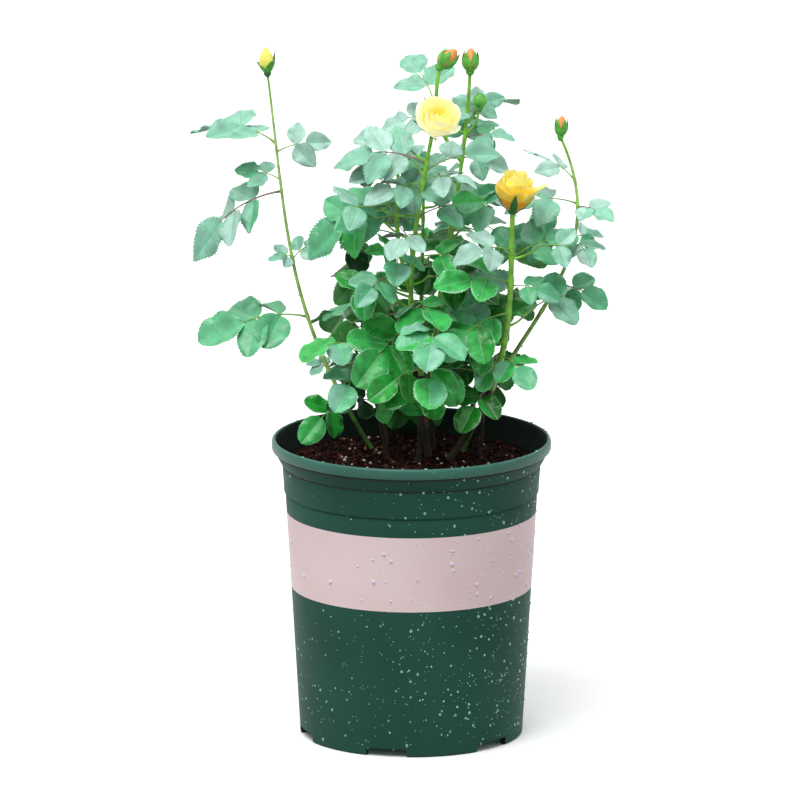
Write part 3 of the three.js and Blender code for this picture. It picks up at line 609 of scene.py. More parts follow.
stem_green, stem_pale = (
    material(name, rgb, rough=0.42, mottle=0.14, mottle_scale=120, bump=0.25, coat=0.1, rough_swing=0.08)
    for name, rgb in (("stem_green", (132, 196, 60)), ("stem_pale", (166, 208, 108))))
# The dark stem green and the bark brown are partly the woody colour of older canes and partly painted shade, for stems
# low down under the foliage.
stem_dark = material("stem_dark", (70, 118, 44), rough=0.5, mottle=0.2, mottle_scale=140, bump=0.4, rough_swing=0.08)
bark = material("cane_bark", (66, 48, 32), second=(34, 38, 20), rough=0.7, mottle_scale=90, bump=0.8, bump_scale=500,
                rough_swing=0.1)
prickle = material("prickle", (168, 92, 62), rough=0.4, mottle=0.15, mottle_scale=300, bump=0.2)

plastic = material("pot_plastic", (41, 84, 70), rough=0.55, specular=0.1, mottle=0.06, mottle_scale=14, bump=0.12,
                   bump_scale=700, rough_swing=0.07)
# The lip is a lighter copy of the pot's plastic: a painted sheen where the rolled rim catches the light.
lip_sheen_plastic = material("pot_lip_painted_sheen", (54, 106, 92), rough=0.42, specular=0.3, mottle=0.07, mottle_scale=24, bump=0.15,
                       bump_scale=600, rough_swing=0.08)
band = material("pot_band", (255, 226, 227), rough=0.55, specular=0.15, mottle=0.02, mottle_scale=12, bump=0.06,
                bump_scale=500, rough_swing=0.06)
# Painted shade: the inside wall, the grooves and the band under the lip take this near-black green in place of the
# pot's plastic.
inside = material("pot_inside_painted_shade", (15, 30, 25), rough=0.6, specular=0.3, mottle=0.2, mottle_scale=50, bump=0.3)
# The drops are opaque pale colours: painted reflection, standing for the light that clear beads of water send back.
drop_green, drop_pink, drop_leaf = (
    material("water_on_" + name, rgb, rough=rough, specular=0.8, mottle=mottle, coat=0.6)
    for name, rgb, rough, mottle in (("green", (112, 176, 162), 0.12, 0.06), ("pink", (226, 206, 236), 0.12, 0.03),
                                     ("leaf", (176, 222, 200), 0.08, 0.04)))

peat = material("mix_peat", (46, 19, 16), second=(18, 8, 8), rough=0.9, specular=0.1, mottle_scale=160, bump=1.0,
                bump_scale=350)
chips = [material("mix_bark_" + name, rgb, second=second, rough=0.8, specular=0.12, mottle_scale=250, bump=0.8)
         for name, rgb, second in (("dark", (44, 21, 17), (18, 9, 8)), ("red", (90, 40, 31), (46, 20, 16)),
                                   ("pale", (130, 90, 78), (82, 50, 42)))]
chips.append(material("mix_perlite", (228, 214, 210), rough=0.8, mottle=0.06, mottle_scale=300, bump=0.6))

PETAL = dict(rough=0.55, specular=0.25, bump=0.12, sheen=0.2, soft=0.35)
# The petals and the yellow bud give off a little light of their own: painted light standing in for light that shines
# through thin petals.
lemon = [material("petal_lemon" + name, rgb, mottle=mottle, painted_glow=painted_glow, **PETAL)
         for name, rgb, mottle, painted_glow in (("_pale", (255, 252, 224), 0.012, 0.14), ("", (254, 247, 170), 0.015, 0.16),
                                         ("_core", (252, 238, 112), 0.02, 0.18))]
golden = [material("petal_" + name, rgb, mottle=mottle, painted_glow=painted_glow, **PETAL)
          for name, rgb, mottle, painted_glow in (("gold_inner", (255, 240, 118), 0.03, 0.1),
                                          ("gold", (254, 212, 66), 0.04, 0.1), ("orange", (250, 166, 26), 0.05, 0.08))]
bud_petal = [material("bud_" + name, rgb, rough=0.5, specular=0.3, mottle=mottle, bump=0.12, soft=0.3, painted_glow=painted_glow)
             for name, rgb, mottle, painted_glow in (("yellow", (250, 240, 120), 0.03, 0.08),
                                             ("apricot", (244, 160, 100), 0.08, 0.0))]
sepal = [material("sepal_" + name, rgb, rough=0.5, mottle=mottle, mottle_scale=220, bump=0.3)
         for name, rgb, mottle in (("green", (96, 184, 66), 0.12), ("deep", (34, 104, 40), 0.15))]

# ---------------------------------------------------------------- pot

WALL = [(91.6, 1.2), (98.0, 108), (99.0, 124.5), (102.8, 187.7), (103.6, 202.2), (103.1, 203.0), (103.6, 203.6),
        (104.7, 204.3), (105.9, 222), (106.3, 226), (105.9, 226.8), (106.3, 227.5), (107.6, 228.8), (109.4, 232),
        (111.6, 236.6), (111.9, 237.8), (111.6, 238.5), (112.6, 238.9), (114.4, 239.3), (115.0, 240.6), (115.0, 245.0),
        (114.7, 246.6), (114.0, 247.6), (113.0, 248), (112.2, 247.8), (111.6, 247), (110.6, 241), (107, 231),
        (104.6, 226), (101.8, 203), (90, 10)]
POT_PROFILE = [(0, 0), (39.4, 0), (40.4, 0.5), (43.6, 7.2), (44.6, 7.5), (85.2, 7.5), (86.2, 0.6), (86.8, 0),
               (90.2, 0), *WALL, (42, 10), (38, 2.5), (0, 2.5)]
LIP_LOW = 238.2
BAND_LOW, BAND_HIGH = 124.5, 187.7
# Painted shade: the bands at these heights take the pot's near-black inside colour, as dark lines under the steps and
# the lip.
PAINTED_GROOVE_SHADE = [(202, 203.5), (225.5, 227), (236.5, 238.4)]  # the dark lines under the steps and the lip
NOTCH = dict(count=6, first=-103.2, width=34, height=7, corner=2, near=78, far=98)
DRAIN = dict(length=16, width=7, at=68, low=3, high=15)
POT_SHARP = 38  # degrees


def wall_radius(z):
    """The outer wall's radius at a height."""
    outer = WALL[: WALL.index((115.0, 245.0)) + 1]
    return float(np.interp(z, [p[1] for p in outer], [p[0] for p in outer]))


def pot_tint(low, high):
    """The pot's colour between two points of its profile: wall, band, the lip in its lighter painted sheen, or the
    painted shade of the inside wall, the grooves and under the lip.
    """
    rising, ends = high[1] > low[1], sorted((low[1], high[1]))
    # Tint 3 is painted shade: the grooves, under the lip and the whole inside wall.
    if high[0] > 104 and any(bottom < low[1] < top for bottom, top in PAINTED_GROOVE_SHADE):
        return 3
    if rising and min(low[0], high[0]) > 90 and ends[0] >= BAND_LOW - 0.01 and ends[1] <= BAND_HIGH + 0.01:
        return 1
    if not rising and high[1] != low[1] and low[0] > 88 and 5 < low[1] < 247.5:
        return 3
    return 2 if ends[0] > LIP_LOW else 0


def add_prism(mesh, near, far):
    """A closed block between two outlines of as many points."""
    count, points = len(near), np.array(near + far)
    walls = [(k, (k + 1) % count, (k + 1) % count + count, k + count) for k in range(count)]
    fan = [(0, k + 1, k) for k in range(1, count - 1)]
    ends = fan + [tuple(c + count for c in f[::-1]) for f in fan]
    a, b, c = points[list(walls[0][:3])]
    if float(np.cross(b - a, c - a) @ (points[list(walls[0])].mean(0) - points.mean(0))) < 0:
        walls, ends = [w[::-1] for w in walls], [f[::-1] for f in ends]
    mesh.add(points, walls, 0, ends)


def pot():
    """The pot's shell, with its foot notches and drain holes cut out."""
    mesh, cutters = Mesh(), Mesh()
    lathe(mesh, POT_PROFILE, 192, pot_tint)
    shell = mesh.make("pot_shell", [plastic, band, lip_sheen_plastic, inside], "pot", ["pot"], sharp=POT_SHARP)
    wide, high, corner = NOTCH["width"] / 2, NOTCH["height"], NOTCH["corner"]
    arch = [(-wide, -2), (wide, -2)]
    for hand, first in ((1, 0), (-1, 90)):
        for k in range(7):
            a = math.radians(first + 15 * k)
            arch.append((hand * (wide - corner) + corner * math.cos(a), high - corner + corner * math.sin(a)))
    long, thick = DRAIN["length"] / 2, DRAIN["width"] / 2
    box = [(-long, -thick), (long, -thick), (long, thick), (-long, thick)]
    for i in range(NOTCH["count"]):
        turn = math.radians(NOTCH["first"] + 360 / NOTCH["count"] * i)
        out, side = V3(math.cos(turn), math.sin(turn), 0), V3(-math.sin(turn), math.cos(turn), 0)
        add_prism(cutters, *([out * at + side * x + UP * z for x, z in arch] for at in (NOTCH["near"], NOTCH["far"])))
        add_prism(cutters, *([out * (DRAIN["at"] + y) + side * x + UP * z for x, y in box]
                             for z in (DRAIN["low"], DRAIN["high"])))
    cutter = cutters.make("pot_cutter", [inside], "pot")
    cut = shell.modifiers.new("notches", "BOOLEAN")
    cut.operation, cut.object, cut.solver = "DIFFERENCE", cutter, "EXACT"
    made = bpy.data.meshes.new_from_object(shell.evaluated_get(bpy.context.evaluated_depsgraph_get()))
    shell.modifiers.clear()
    shell.data = made
    bpy.data.objects.remove(cutter, do_unlink=True)
    made.set_sharp_from_angle(angle=math.radians(POT_SHARP))


DROP_PROFILE = [(1.0, -0.12), (0.97, 0.25), (0.72, 0.74), (0.36, 0.95)]  # shares of radius and height


def dome(mesh, centre, normal, radius, height, tint, stretch=1.0):
    """A drop of water that sits on a surface."""
    normal = unit(normal)
    side = unit(cross(normal, UP if abs(normal[2]) < 0.9 else V3(1, 0, 0)))
    over = cross(normal, side)
    turn = np.linspace(0, 2 * math.pi, 8, endpoint=False)
    grid = np.array([[centre + side * (r * radius * math.cos(a)) + over * (r * radius * stretch * math.sin(a))
                      + normal * h * height for a in turn] for r, h in DROP_PROFILE])
    mesh.add_rings(grid, [centre - normal * 0.12 * height, centre + normal * height], tint, tint)


WALL_DROPS, RIM_DROPS = 1150, 18
WET_SIDE = -42  # compass point where the wall is wettest


def pot_drops():
    """Drops of water on the wall and the rim."""
    random = np.random.default_rng(11)
    mesh = Mesh()
    placed = 0
    while placed < WALL_DROPS:
        z = random.uniform(6, 246)
        turn = random.uniform(0, 2 * math.pi)
        wet = 0.2 + 0.8 * (0.5 + 0.5 * math.cos(turn - math.radians(WET_SIDE))) ** 3
        if random.random() > wet * (1.0 if z < 120 else 0.6):
            continue
        radius = 0.4 + 1.0 * random.random() ** 4.4
        if BAND_LOW < z < BAND_HIGH:
            radius *= 1.35
        out = V3(math.cos(turn), math.sin(turn), 0)
        slope = unit(V3(out[0], out[1], -(wall_radius(z + 1) - wall_radius(z - 1)) / 2))
        on_band = BAND_LOW - 0.5 < z < BAND_HIGH + 0.5
        dome(mesh, out * wall_radius(z) + UP * z, slope, radius, radius * 0.55, int(on_band),
             stretch=1 + 0.25 * random.random())
        placed += 1
    for _ in range(RIM_DROPS):
        turn = random.uniform(0, 2 * math.pi)
        dome(mesh, V3(math.cos(turn), math.sin(turn), 0) * 113.2 + UP * 247.95, UP, random.uniform(0.6, 1.5), 0.8, 0)
    mesh.make("pot_drops", [drop_green, drop_pink], "pot")


# ---------------------------------------------------------------- mix


MIX_EDGE = 103.9  # the mix is level with its plain solid from here out
PERLITE = 3
GRAINS = 1500
CUBE = np.array([(a, b, c) for a in (-1, 1) for b in (-1, 1) for c in (-1, 1)], float)
CUBE_FACES = [(0, 1, 3, 2), (4, 6, 7, 5), (0, 4, 5, 1), (2, 3, 7, 6), (0, 2, 6, 4), (1, 5, 7, 3)]


def mix_height(reach):
    """The plain top of the mix, which drops a little towards the wall."""
    return float(np.interp(reach, [0, 72, 104.4], [230, 230, 227.4]))


def mix_bumps(x, y, *sizes):
    """The unevenness of the mix, from (height, width) of each size of bump."""
    return sum(high * noise.noise(Vector((x, y, 0)) / wide) for high, wide in sizes)


def mix():
    """The potting mix: an uneven top on its plain block, and loose grains over it."""
    clearance, mounds, crumbs = GAP * 1.6, ((2.4, 22), (1.7, 8)), (0.9, 3.2)
    profile = [(0, 2.8), (38 - clearance, 2.8), (42 - clearance, 10.3), (90 - clearance, 10.3),
               (101.8 - clearance, 203), (104.6 - clearance, 226), (104.9 - clearance, 227.3)]
    profile += [(r, mix_height(r)) for r in np.linspace(103.4, 0.9, 46)] + [(0, 230)]

    def shape(r, z, turn):
        lift = np.zeros_like(r)
        for i, j in zip(*np.nonzero((z > 226.9) & (r < MIX_EDGE))):
            lift[i, j] = mix_bumps(r[i, j] * math.cos(turn[0, j]), r[i, j] * math.sin(turn[0, j]), *mounds, crumbs)
        return r, z + lift * np.clip((MIX_EDGE - r) / 8, 0, 1)

    mesh, grains = Mesh(), Mesh()
    lathe(mesh, profile, 132, lambda low, high: 0, shape)
    mesh.make("mix_surface", [peat], "soil", ["soil"], sharp=60)
    random = np.random.default_rng(5)
    for _ in range(GRAINS):
        reach = 101.5 * math.sqrt(random.random())
        turn = random.uniform(0, 2 * math.pi)
        x, y = reach * math.cos(turn), reach * math.sin(turn)
        kind = int(random.choice(4, p=[0.56, 0.32, 0.08, 0.04]))
        size = random.uniform(1.4, 2.6) if kind == PERLITE else random.uniform(1.6, 5.4)
        flat = 0.85 if kind == PERLITE else random.uniform(0.22, 0.5)
        width = size * (0.85 if kind == PERLITE else random.uniform(0.4, 0.75))
        height = mix_height(reach) + mix_bumps(x, y, *mounds) * min(1, (MIX_EDGE - reach) / 8)
        if reach + size > 102:
            continue
        axes = np.linalg.qr(random.normal(size=(3, 3)) * [1, 1, 0.35] + np.diag([0, 0, 2.2]))[0]
        grain = CUBE * (1 + random.uniform(-0.35, 0.2, (8, 3))) * [size / 2, width / 2, size * flat / 2] @ axes.T
        grains.add(grain + [x, y, height + size * flat * 0.25], CUBE_FACES, kind)
    piece = grains.make("mix_grains", chips, "soil", sharp=30)
    round_off = piece.modifiers.new("worn", "BEVEL")
    round_off.width, round_off.segments, round_off.limit_method = 0.00035, 1, "NONE"


# ---------------------------------------------------------------- limbs and leaves

def limb_points(limb, start, end, step):
    """Places along a limb about a step apart, and the points there."""
    count = max(2, math.ceil((end - start) * limb["curve"].length / step))
    places = np.linspace(start, end, count + 1)
    return places, np.array([limb["curve"].at(t) for t in places])


def limb_radii(limb, places, swell=0.22):
    """A limb's radii, a little swollen where leaves stand."""
    radii = np.array([radius_at(limb, t) for t in places])
    for leaf in limb.get("leaves", ()):
        off = (places - leaf[0]) * limb["curve"].length
        radii *= 1 + swell * np.exp(-((off / 2.6) ** 2))
    return radii


def bark_relief(seed, amount):
    """Shallow ridges that run along a limb and wander round it."""
    a, b, c = np.random.default_rng(seed).uniform(0, 6.28, 3)

    def relief(ring, turn):
        return 1 + amount * (np.sin(3 * turn + a + ring * 0.05) + 0.7 * np.sin(5 * turn + b - ring * 0.09)
                             + 0.6 * np.sin(ring * 0.9 + c) * np.sin(2 * turn + b))

    return relief


def prickles(mesh, limb, start, end, random, tint, spacing):
    """Small hooked prickles at uneven distances along a limb."""
    curve = limb["curve"]
    at = start * curve.length + spacing * random()
    while at < end * curve.length - 4:
        t = at / curve.length
        tangent, turn = curve.tangent(t), 2 * math.pi * random()
        side = unit(cross(tangent, V3(0, 1, 0)))
        out = side * math.cos(turn) + cross(tangent, side) * math.sin(turn)
        r = radius_at(limb, t)
        long = (1.5 + 1.5 * random()) * (0.55 + 0.2 * r)
        base = curve.at(t) + out * r * 0.55
        spots, widths = [], []
        for s in (0, 0.3, 0.65, 1.0):
            spots.append(base + out * (r * 0.45 + long) * s - tangent * long * 0.45 * s * s)
            widths.append((0.62 * (1 - s) ** 1.2 + 0.06) * (0.7 + 0.25 * r))
        tube(mesh, spots, widths, 6, tint)
        at += spacing * (0.6 + 0.9 * random())


COLS = np.array([-1, -0.91, -0.68, -0.36, -0.035, 0.035, 0.36, 0.68, 0.91, 1])  # across a leaflet, from rim to rim
TOOTHED = np.array([1.0, 0.8, 0.25, 0, 0, 0, 0, 0.25, 0.8, 1.0])  # how far each column follows the teeth
MIDRIB_CELL, LEFT_CELLS, RIGHT_CELLS = 4, slice(1, 4), slice(5, 8)
LEAFLET_THICK, STALKLET = 0.32, 1.6


def leaflet_mesh(mesh, l, tint, roundness, painted_sheen_halves, random, under):
    """A leaflet with a toothed rim, a sunk midrib and quilted veins. painted_sheen_halves says which halves are a tint
    lighter, a painted sheen.
    """
    teeth = 12 + int(3 * random())
    long, wide = l["length"] - STALKLET, l["width"] * (0.96 + 0.08 * roundness)
    step = 0.9 / teeth
    u, tooth = [0.0, 0.03], [0.0, 0.0]
    for k in range(teeth):
        u += [0.055 + step * k, 0.055 + step * (k + 0.55 + 0.14 * random())]
        tooth += [-0.6 - 0.6 * random(), 0.6 + 0.7 * random()]
    u, tooth = np.array(u + [0.965, 1.0])[:, None], np.array(tooth + [0.0, 0.0])[:, None]
    root, tip = 0.54 - 0.04 * roundness, 0.9 - 0.38 * roundness
    peak = root / (root + tip)
    half = (u.clip(1e-4) ** root * (1 - u).clip(1e-4) ** tip) / (peak ** root * (1 - peak) ** tip) * wide / 2
    half[0], half[-1] = 0.45, 0.12
    out = np.abs(COLS)
    depth = (0.052 + 0.028 * random()) * (1 - 0.5 * roundness)
    x = np.sign(COLS) * (half * out * (1 + depth * tooth * TOOTHED))
    grid_u = u + np.where(tooth > 0, 0.24 * step * TOOTHED, 0)
    phase = 6.5 * (grid_u - 0.30 * out) + random()
    quilt = (np.abs(np.sin(math.pi * phase)) - 0.6) * 0.05 * wide * out ** 0.6 * (1 - out ** 4)
    fade = np.sin(math.pi * grid_u.clip(0, 1)) ** 0.5
    twisted = 0.035 * long * np.sin(2 * math.pi * (grid_u * (1.4 + random()) + random())) * out ** 2 * np.sign(COLS)
    waved = 0.02 * long * np.sin(2 * math.pi * (grid_u * 2.2 + random())) * out ** 2
    lift = l["cup"] * np.abs(x) - l["curl"] * grid_u ** 2 * long + (quilt + twisted + waved) * fade
    lift = lift - (0.05 * np.exp(-((COLS / 0.14) ** 2)) + 0.07 * out ** 4) * wide * fade
    grid = (l["base"] + STALKLET * l["along"] + (grid_u * long)[..., None] * l["along"] + x[..., None] * l["across"]
            + lift[..., None] * l["normal"])
    top = np.full((len(u) - 1, len(COLS) - 1), 3 * tint)
    # The rim cells take the rim material, on the glossy tints a painted highlight.
    top[:, [0, -1]] = 3 * tint + 1
    top[:, MIDRIB_CELL] = 3 * tint + 2
    broad = (u[1:, 0] > 0.1) & (u[1:, 0] < 0.93)
    # Painted sheen: the halves that the bits mark take the next lighter tint.
    for bit, cells in ((1, LEFT_CELLS), (2, RIGHT_CELLS)):
        if painted_sheen_halves & bit:
            top[broad, cells] = 3 * max(0, tint - 1)
    sheet(mesh, grid, LEAFLET_THICK, top, under)
    return grid


TINT_HEIGHTS, TINT_VALUES = (260, 330, 385, 405, 430, 455, 500), (4.7, 4.8, 3.9, 2.8, 1.7, 1.1, 0.6)


def share_of(value, none, full):
    """0 at none, 1 at full, and even between them."""
    return min(1, max(0, (value - none) / (full - none)))


def leaf_tint(root, random):
    """Sprays near the top and far out are pale, a painted sky sheen; those low down, inside or at the back of the bush
    are green, partly painted shade.
    """
    x, y, z = root
    outer = math.hypot(x - 10, y - 15)
    value = float(np.interp(z, TINT_HEIGHTS, TINT_VALUES))
    # Painted shade: sprays inside the bush below the crown and those at its back move to deeper greens; those far out
    # move lighter.
    value += 1.7 * share_of(outer, 60, 26) * share_of(z, 420, 360) - max(0, outer - 62) / 46
    value += 0.8 * share_of(y, 40, 80)
    value += (2.6 if z < 400 else 1.6) * (random() - 0.5) - 1.7 * (random() < (0.28 if outer > 45 else 0.12))
    if outer > 110:
        value = min(2.4, max(0.9, value - 0.8))
    return int(max(0, min(6, round(value))))


def stipule(mesh, plan, hand):
    """The narrow wing beside a leaf stalk's foot, on one side of it."""
    tangent, side = plan["tangent_at"](0), plan["side"]
    along = unit(tangent + side * hand * 0.28)
    across = unit(side - along * float(side @ along))
    length, width = 7.5 * plan["growth"], 2.6 * plan["growth"]
    u = np.array([0, 0.25, 0.5, 0.75, 1.0])[:, None]
    v = np.array([-0.5, 0, 0.5])[None]
    half = np.array([0.35, 0.7, 0.9, 0.6, 0.06])[:, None] * width
    grid = (plan["midrib"][0] + tangent * 0.6 + (u * length + 0 * v)[..., None] * along
            + (half * v)[..., None] * across + (0.2 * np.abs(v) * half)[..., None] * cross(along, across))
    sheet(mesh, grid, 0.25, STALK, STALK)


def leaf(mesh, twigs, drops, plan):
    """A compound leaf: stalk and midrib, stipules, and leaflets with a few drops on them."""
    random = random_from(plan["seed"] * 31 + 7)
    end = plan["midrib"][-1]
    tint, low = leaf_tint(end, random), share_of(end[2], 430, 350)
    stalk_tint = STALK + (random() < 0.24)
    count = 8
    points = [plan["midrib"][0]]
    for i in range(count):
        points.append(points[i] + plan["tangent_at"]((i + 0.5) / count) * plan["reach"] / count)
    radii = np.interp(np.linspace(0, 1, count + 1), [0, 0.08, 0.2, 1], [1.25, 0.95, 0.7, 0.5])
    tube(twigs, points, radii * (0.6 + 0.4 * plan["size"]), 7, stalk_tint)
    for hand in (-1, 1):
        stipule(twigs, plan, hand)
    for l in plan["leaflets"]:
        own = random_from(int(plan["seed"] * 131 + l["s"] * 977 + (l["length"] * 1e3) % 997))
        base, along, z = l["base"], l["along"], l["base"][2]
        shade = int(max(0, min(6, tint + round(1.3 * (own() - 0.5)))))
        tube(twigs, [points[round(l["s"] * count)], base + along * 0.4, base + along * 2.2], [0.55, 0.5, 0.42], 6,
             stalk_tint)
        under = UNDERSIDE + ((own() < 0.22) if z > 410 else 2)
        # Painted sheen: some leaflets below the crown's top get one or both halves a tint lighter.
        painted_sheen_halves = int(1 + 2 * own()) if own() < 0.3 and z < 470 else 0
        grid = leaflet_mesh(mesh, l, shade, low * (0.7 + 0.3 * own()), painted_sheen_halves, own, under)
        wetness = 2.6 if 290 < z < 400 else 0.9
        for _ in range(int(wetness * own() + 0.5)):
            i, j = 4 + int(own() * (len(grid) - 8)), (2, 3, 6, 7)[int(own() * 4)]
            p = grid[i, j] + (grid[i + 1, j] - grid[i, j]) * own()
            radius = 0.32 + 0.5 * own() ** 3
            dome(drops, p, l["normal"], radius, radius * 0.6, 0)


def shoot(limb, limbs):
    """All that replaces one mass of foliage: stems, leaf stalks, leaves."""
    leaves, twigs, drops = Mesh(), Mesh(), Mesh()
    first = min(at[0] for at in limb["leaves"]) - 0.02
    own = [limb] + [o for o in limbs if o["parent"] == limb["name"]]
    for number, one in enumerate(own):
        start = first if one is limb else 0
        places, points = limb_points(one, start, one.get("stalk", 1), 3)
        tube(twigs, points, limb_radii(one, places), 10, STEM, bark_relief(number + 3, 0.012))
        prickles(twigs, one, start + 0.03, one.get("stalk", 1) - 0.05, random_from(900 + len(one["name"]) + number),
                 PRICKLE, 26)
        for plan in one["plans"]:
            leaf(leaves, twigs, drops, plan)
        for twiglet in one["twiglets"]:
            line = np.array([twiglet["curve"].at(t) for t in np.linspace(0, 1, 9)])
            tube(twigs, line, np.linspace(1.15, 0.75, 9), 8, STEM)
            leaf(leaves, twigs, drops, twiglet["plan"])
    name = limb["name"]
    # Low shoots take the dark stem green: partly painted shade, as they stand low in the bush.
    dark, pale = name.startswith("low"), name in ("left", "right")
    materials = leaf_materials + [stem_dark if dark else stem_pale if pale else stem_green, prickle]
    leaves.make("leaves_" + name, leaf_materials, "leaf", ["foliage_" + name], sharp=55)
    twigs.make("twigs_" + name, materials, "leaf")
    if drops.count:
        drops.make("leaf_drops_" + name, [drop_leaf], "leaf")


def cane(limb):
    """The bare lower part of a limb, up to where its mass of foliage starts."""
    mesh = Mesh()
    first = min(at[0] for at in limb["leaves"]) - 0.02
    gap = GAP / limb["curve"].length
    places, points = limb_points(limb, 0, first - gap, 2.2)
    radii = limb_radii(limb, places)
    radii *= 1 + 0.35 * np.exp(-((places * limb["curve"].length) / 5))
    number = len(limb["name"]) * 7
    tube(mesh, points, radii, 16, 0, bark_relief(number, 0.035))
    prickles(mesh, limb, 0.04, first - 0.02, random_from(700 + number), 1, 17)
    # The bare canes are bark brown, or dark green for the thin outer ones: partly their woody colour, partly painted
    # shade under the foliage.
    skin = stem_dark if limb["name"] in ("left", "right") else bark
    mesh.make("stem_" + limb["name"], [skin, prickle], "cane", ["cane_" + limb["name"]])


# ---------------------------------------------------------------- blooms and buds


def petal(mesh, head, theta, spread, radii, height, curl, spiral, tints, drop, notch):
    """One petal: a cupped sheet from radii (base, belly, rim), with its rim curled out."""
    rows, cols = 9, 9
    v = np.linspace(0, 1, rows)[:, None]
    s = np.linspace(-1, 1, cols)[None]
    base, belly, rim = radii
    r = (1 - v) ** 2 * base + 2 * v * (1 - v) * belly + v ** 2 * rim
    z = 2 * v * (1 - v) * 0.36 * height + v ** 2 * height
    bend = ((v - 0.72).clip(0) / 0.28) ** 2
    edge = 1 - 0.55 * np.abs(s) ** 3
    r = r + curl * bend * edge + spiral * s * v + 0.4 * curl * bend * np.sin(3.2 * s + theta)
    z = z * (1 - drop * s ** 2 * v) - 0.5 * abs(curl) * bend * edge + notch * v ** 6 * np.cos(s * 3.1) * 1.2
    width = np.interp(v, [0, 0.25, 0.6, 0.85, 1], [0.42, 0.8, 1, 0.98, 0.82])
    angle = theta + np.radians(spread) * width * s
    grid = np.stack([r * np.cos(angle), r * np.sin(angle), z], -1)
    grid = turned_to(grid.reshape(-1, 3), head["tilt"], head["foot"]).reshape(rows, cols, 3)
    inner, outer_top, outer_low = tints
    outside = np.where(np.arange(rows - 1) < rows * 0.5, outer_low, outer_top)[:, None]
    # rows run up and columns run anticlockwise, so the sheet faces inwards
    sheet(mesh, grid[:, ::-1], 0.35, outside, inner)


def sepal_blade(mesh, head, theta, profile, long, wide, off, flare, tint, base=0.0):
    """A sepal that follows a head's outer profile, a function of height, and leaves it at the tip."""
    rows, cols = 9, 5
    t = np.linspace(0, 1, rows)
    z = base + t * long * np.cos(np.radians(flare) * t ** 2)
    r = np.array([profile(h) for h in z]) + off + long * np.sin(np.radians(flare)) * t ** 3 * 0.6
    half = np.interp(t, [0, 0.2, 0.45, 0.75, 1], [0.75, 1, 0.86, 0.42, 0.05]) * wide / 2
    s = np.linspace(-1, 1, cols)[None]
    angle = theta + (half / np.maximum(r, 1.2))[:, None] * s
    rr = r[:, None] - 0.12 * half[:, None] * np.abs(s)
    grid = np.stack([rr * np.cos(angle), rr * np.sin(angle), z[:, None] + 0 * s], -1)
    grid = turned_to(grid.reshape(-1, 3), head["tilt"], head["foot"]).reshape(rows, cols, 3)
    sheet(mesh, grid[:, ::-1], 0.45, tint, tint)


def lathe_at(mesh, head, profile, segments, tint, radius_of=None):
    """A solid of revolution in a head's own frame."""
    local = Mesh()
    lathe(local, profile, segments, lambda low, high: tint, radius_of)
    points = turned_to(local.points[0], head["tilt"], head["foot"])
    mesh.add(points, local.faces[0], local.tints[0], local.faces[1], local.tints[1])


def bud(limb, petal_tint, covers, first, deep):
    """A closed egg of folded petals in five sepals, on its hip and stalk."""
    head = dict(limb["head"], foot=limb["curve"].at(1))
    long, r = head["length"], head["width"] / 2
    tall = [0, 0.1, 0.22, 0.38, 0.55, 0.74, 0.9, 1.0]
    wide = [0.34, 0.62, 0.88, 1.0, 0.94, 0.7, 0.36, 0.04]
    mesh = Mesh()
    profile = [(r * 0.88 * float(np.interp(t, tall, wide)), t * long) for t in np.linspace(0, 0.985, 22)]
    profile = [(0, -0.04 * long), *profile, (0, long * 0.99)]

    def egg(z):
        return r * 0.9 * float(np.interp(z / long, tall, wide))

    def folded(radius, z, turn):
        twist = (turn / (2 * math.pi) * 3 + z / long * 0.8) % 1
        return (radius * (1 + 0.07 * (twist - 0.5) * np.clip(z / long * 2, 0, 1)),
                z + 0.02 * long * twist * (z / long) ** 2)

    lathe_at(mesh, head, profile, 40, petal_tint, folded)
    hip = [(0, -3.4), (1.1, -3.4), (1.8, -2.6), (r * 0.42, -1.2), (r * 0.46, 0.6), (r * 0.36, 2.0), (0, 2.2)]
    lathe_at(mesh, head, hip, 18, 2 + deep)
    for i, cover in enumerate(covers):
        theta = math.radians(first + 72 * i)
        sepal_blade(mesh, head, theta, egg, long * cover, head["width"] * 0.78 * min(1, 0.35 + cover), 0.35,
                    8 + 26 * head["open"], 2 + deep * (i % 2))
    stalk(mesh, limb, 4)
    mesh.make("head_" + limb["name"], bud_petal + sepal + [stem_green], "bud", ["bud_" + limb["name"]], sharp=60)


def stalk(mesh, limb, tint):
    """The end of a limb, from its mass of foliage up to its head."""
    gap = GAP / limb["curve"].length
    places, points = limb_points(limb, limb["stalk"] + gap, 1, 3)
    tube(mesh, points, limb_radii(limb, places), 10, tint)


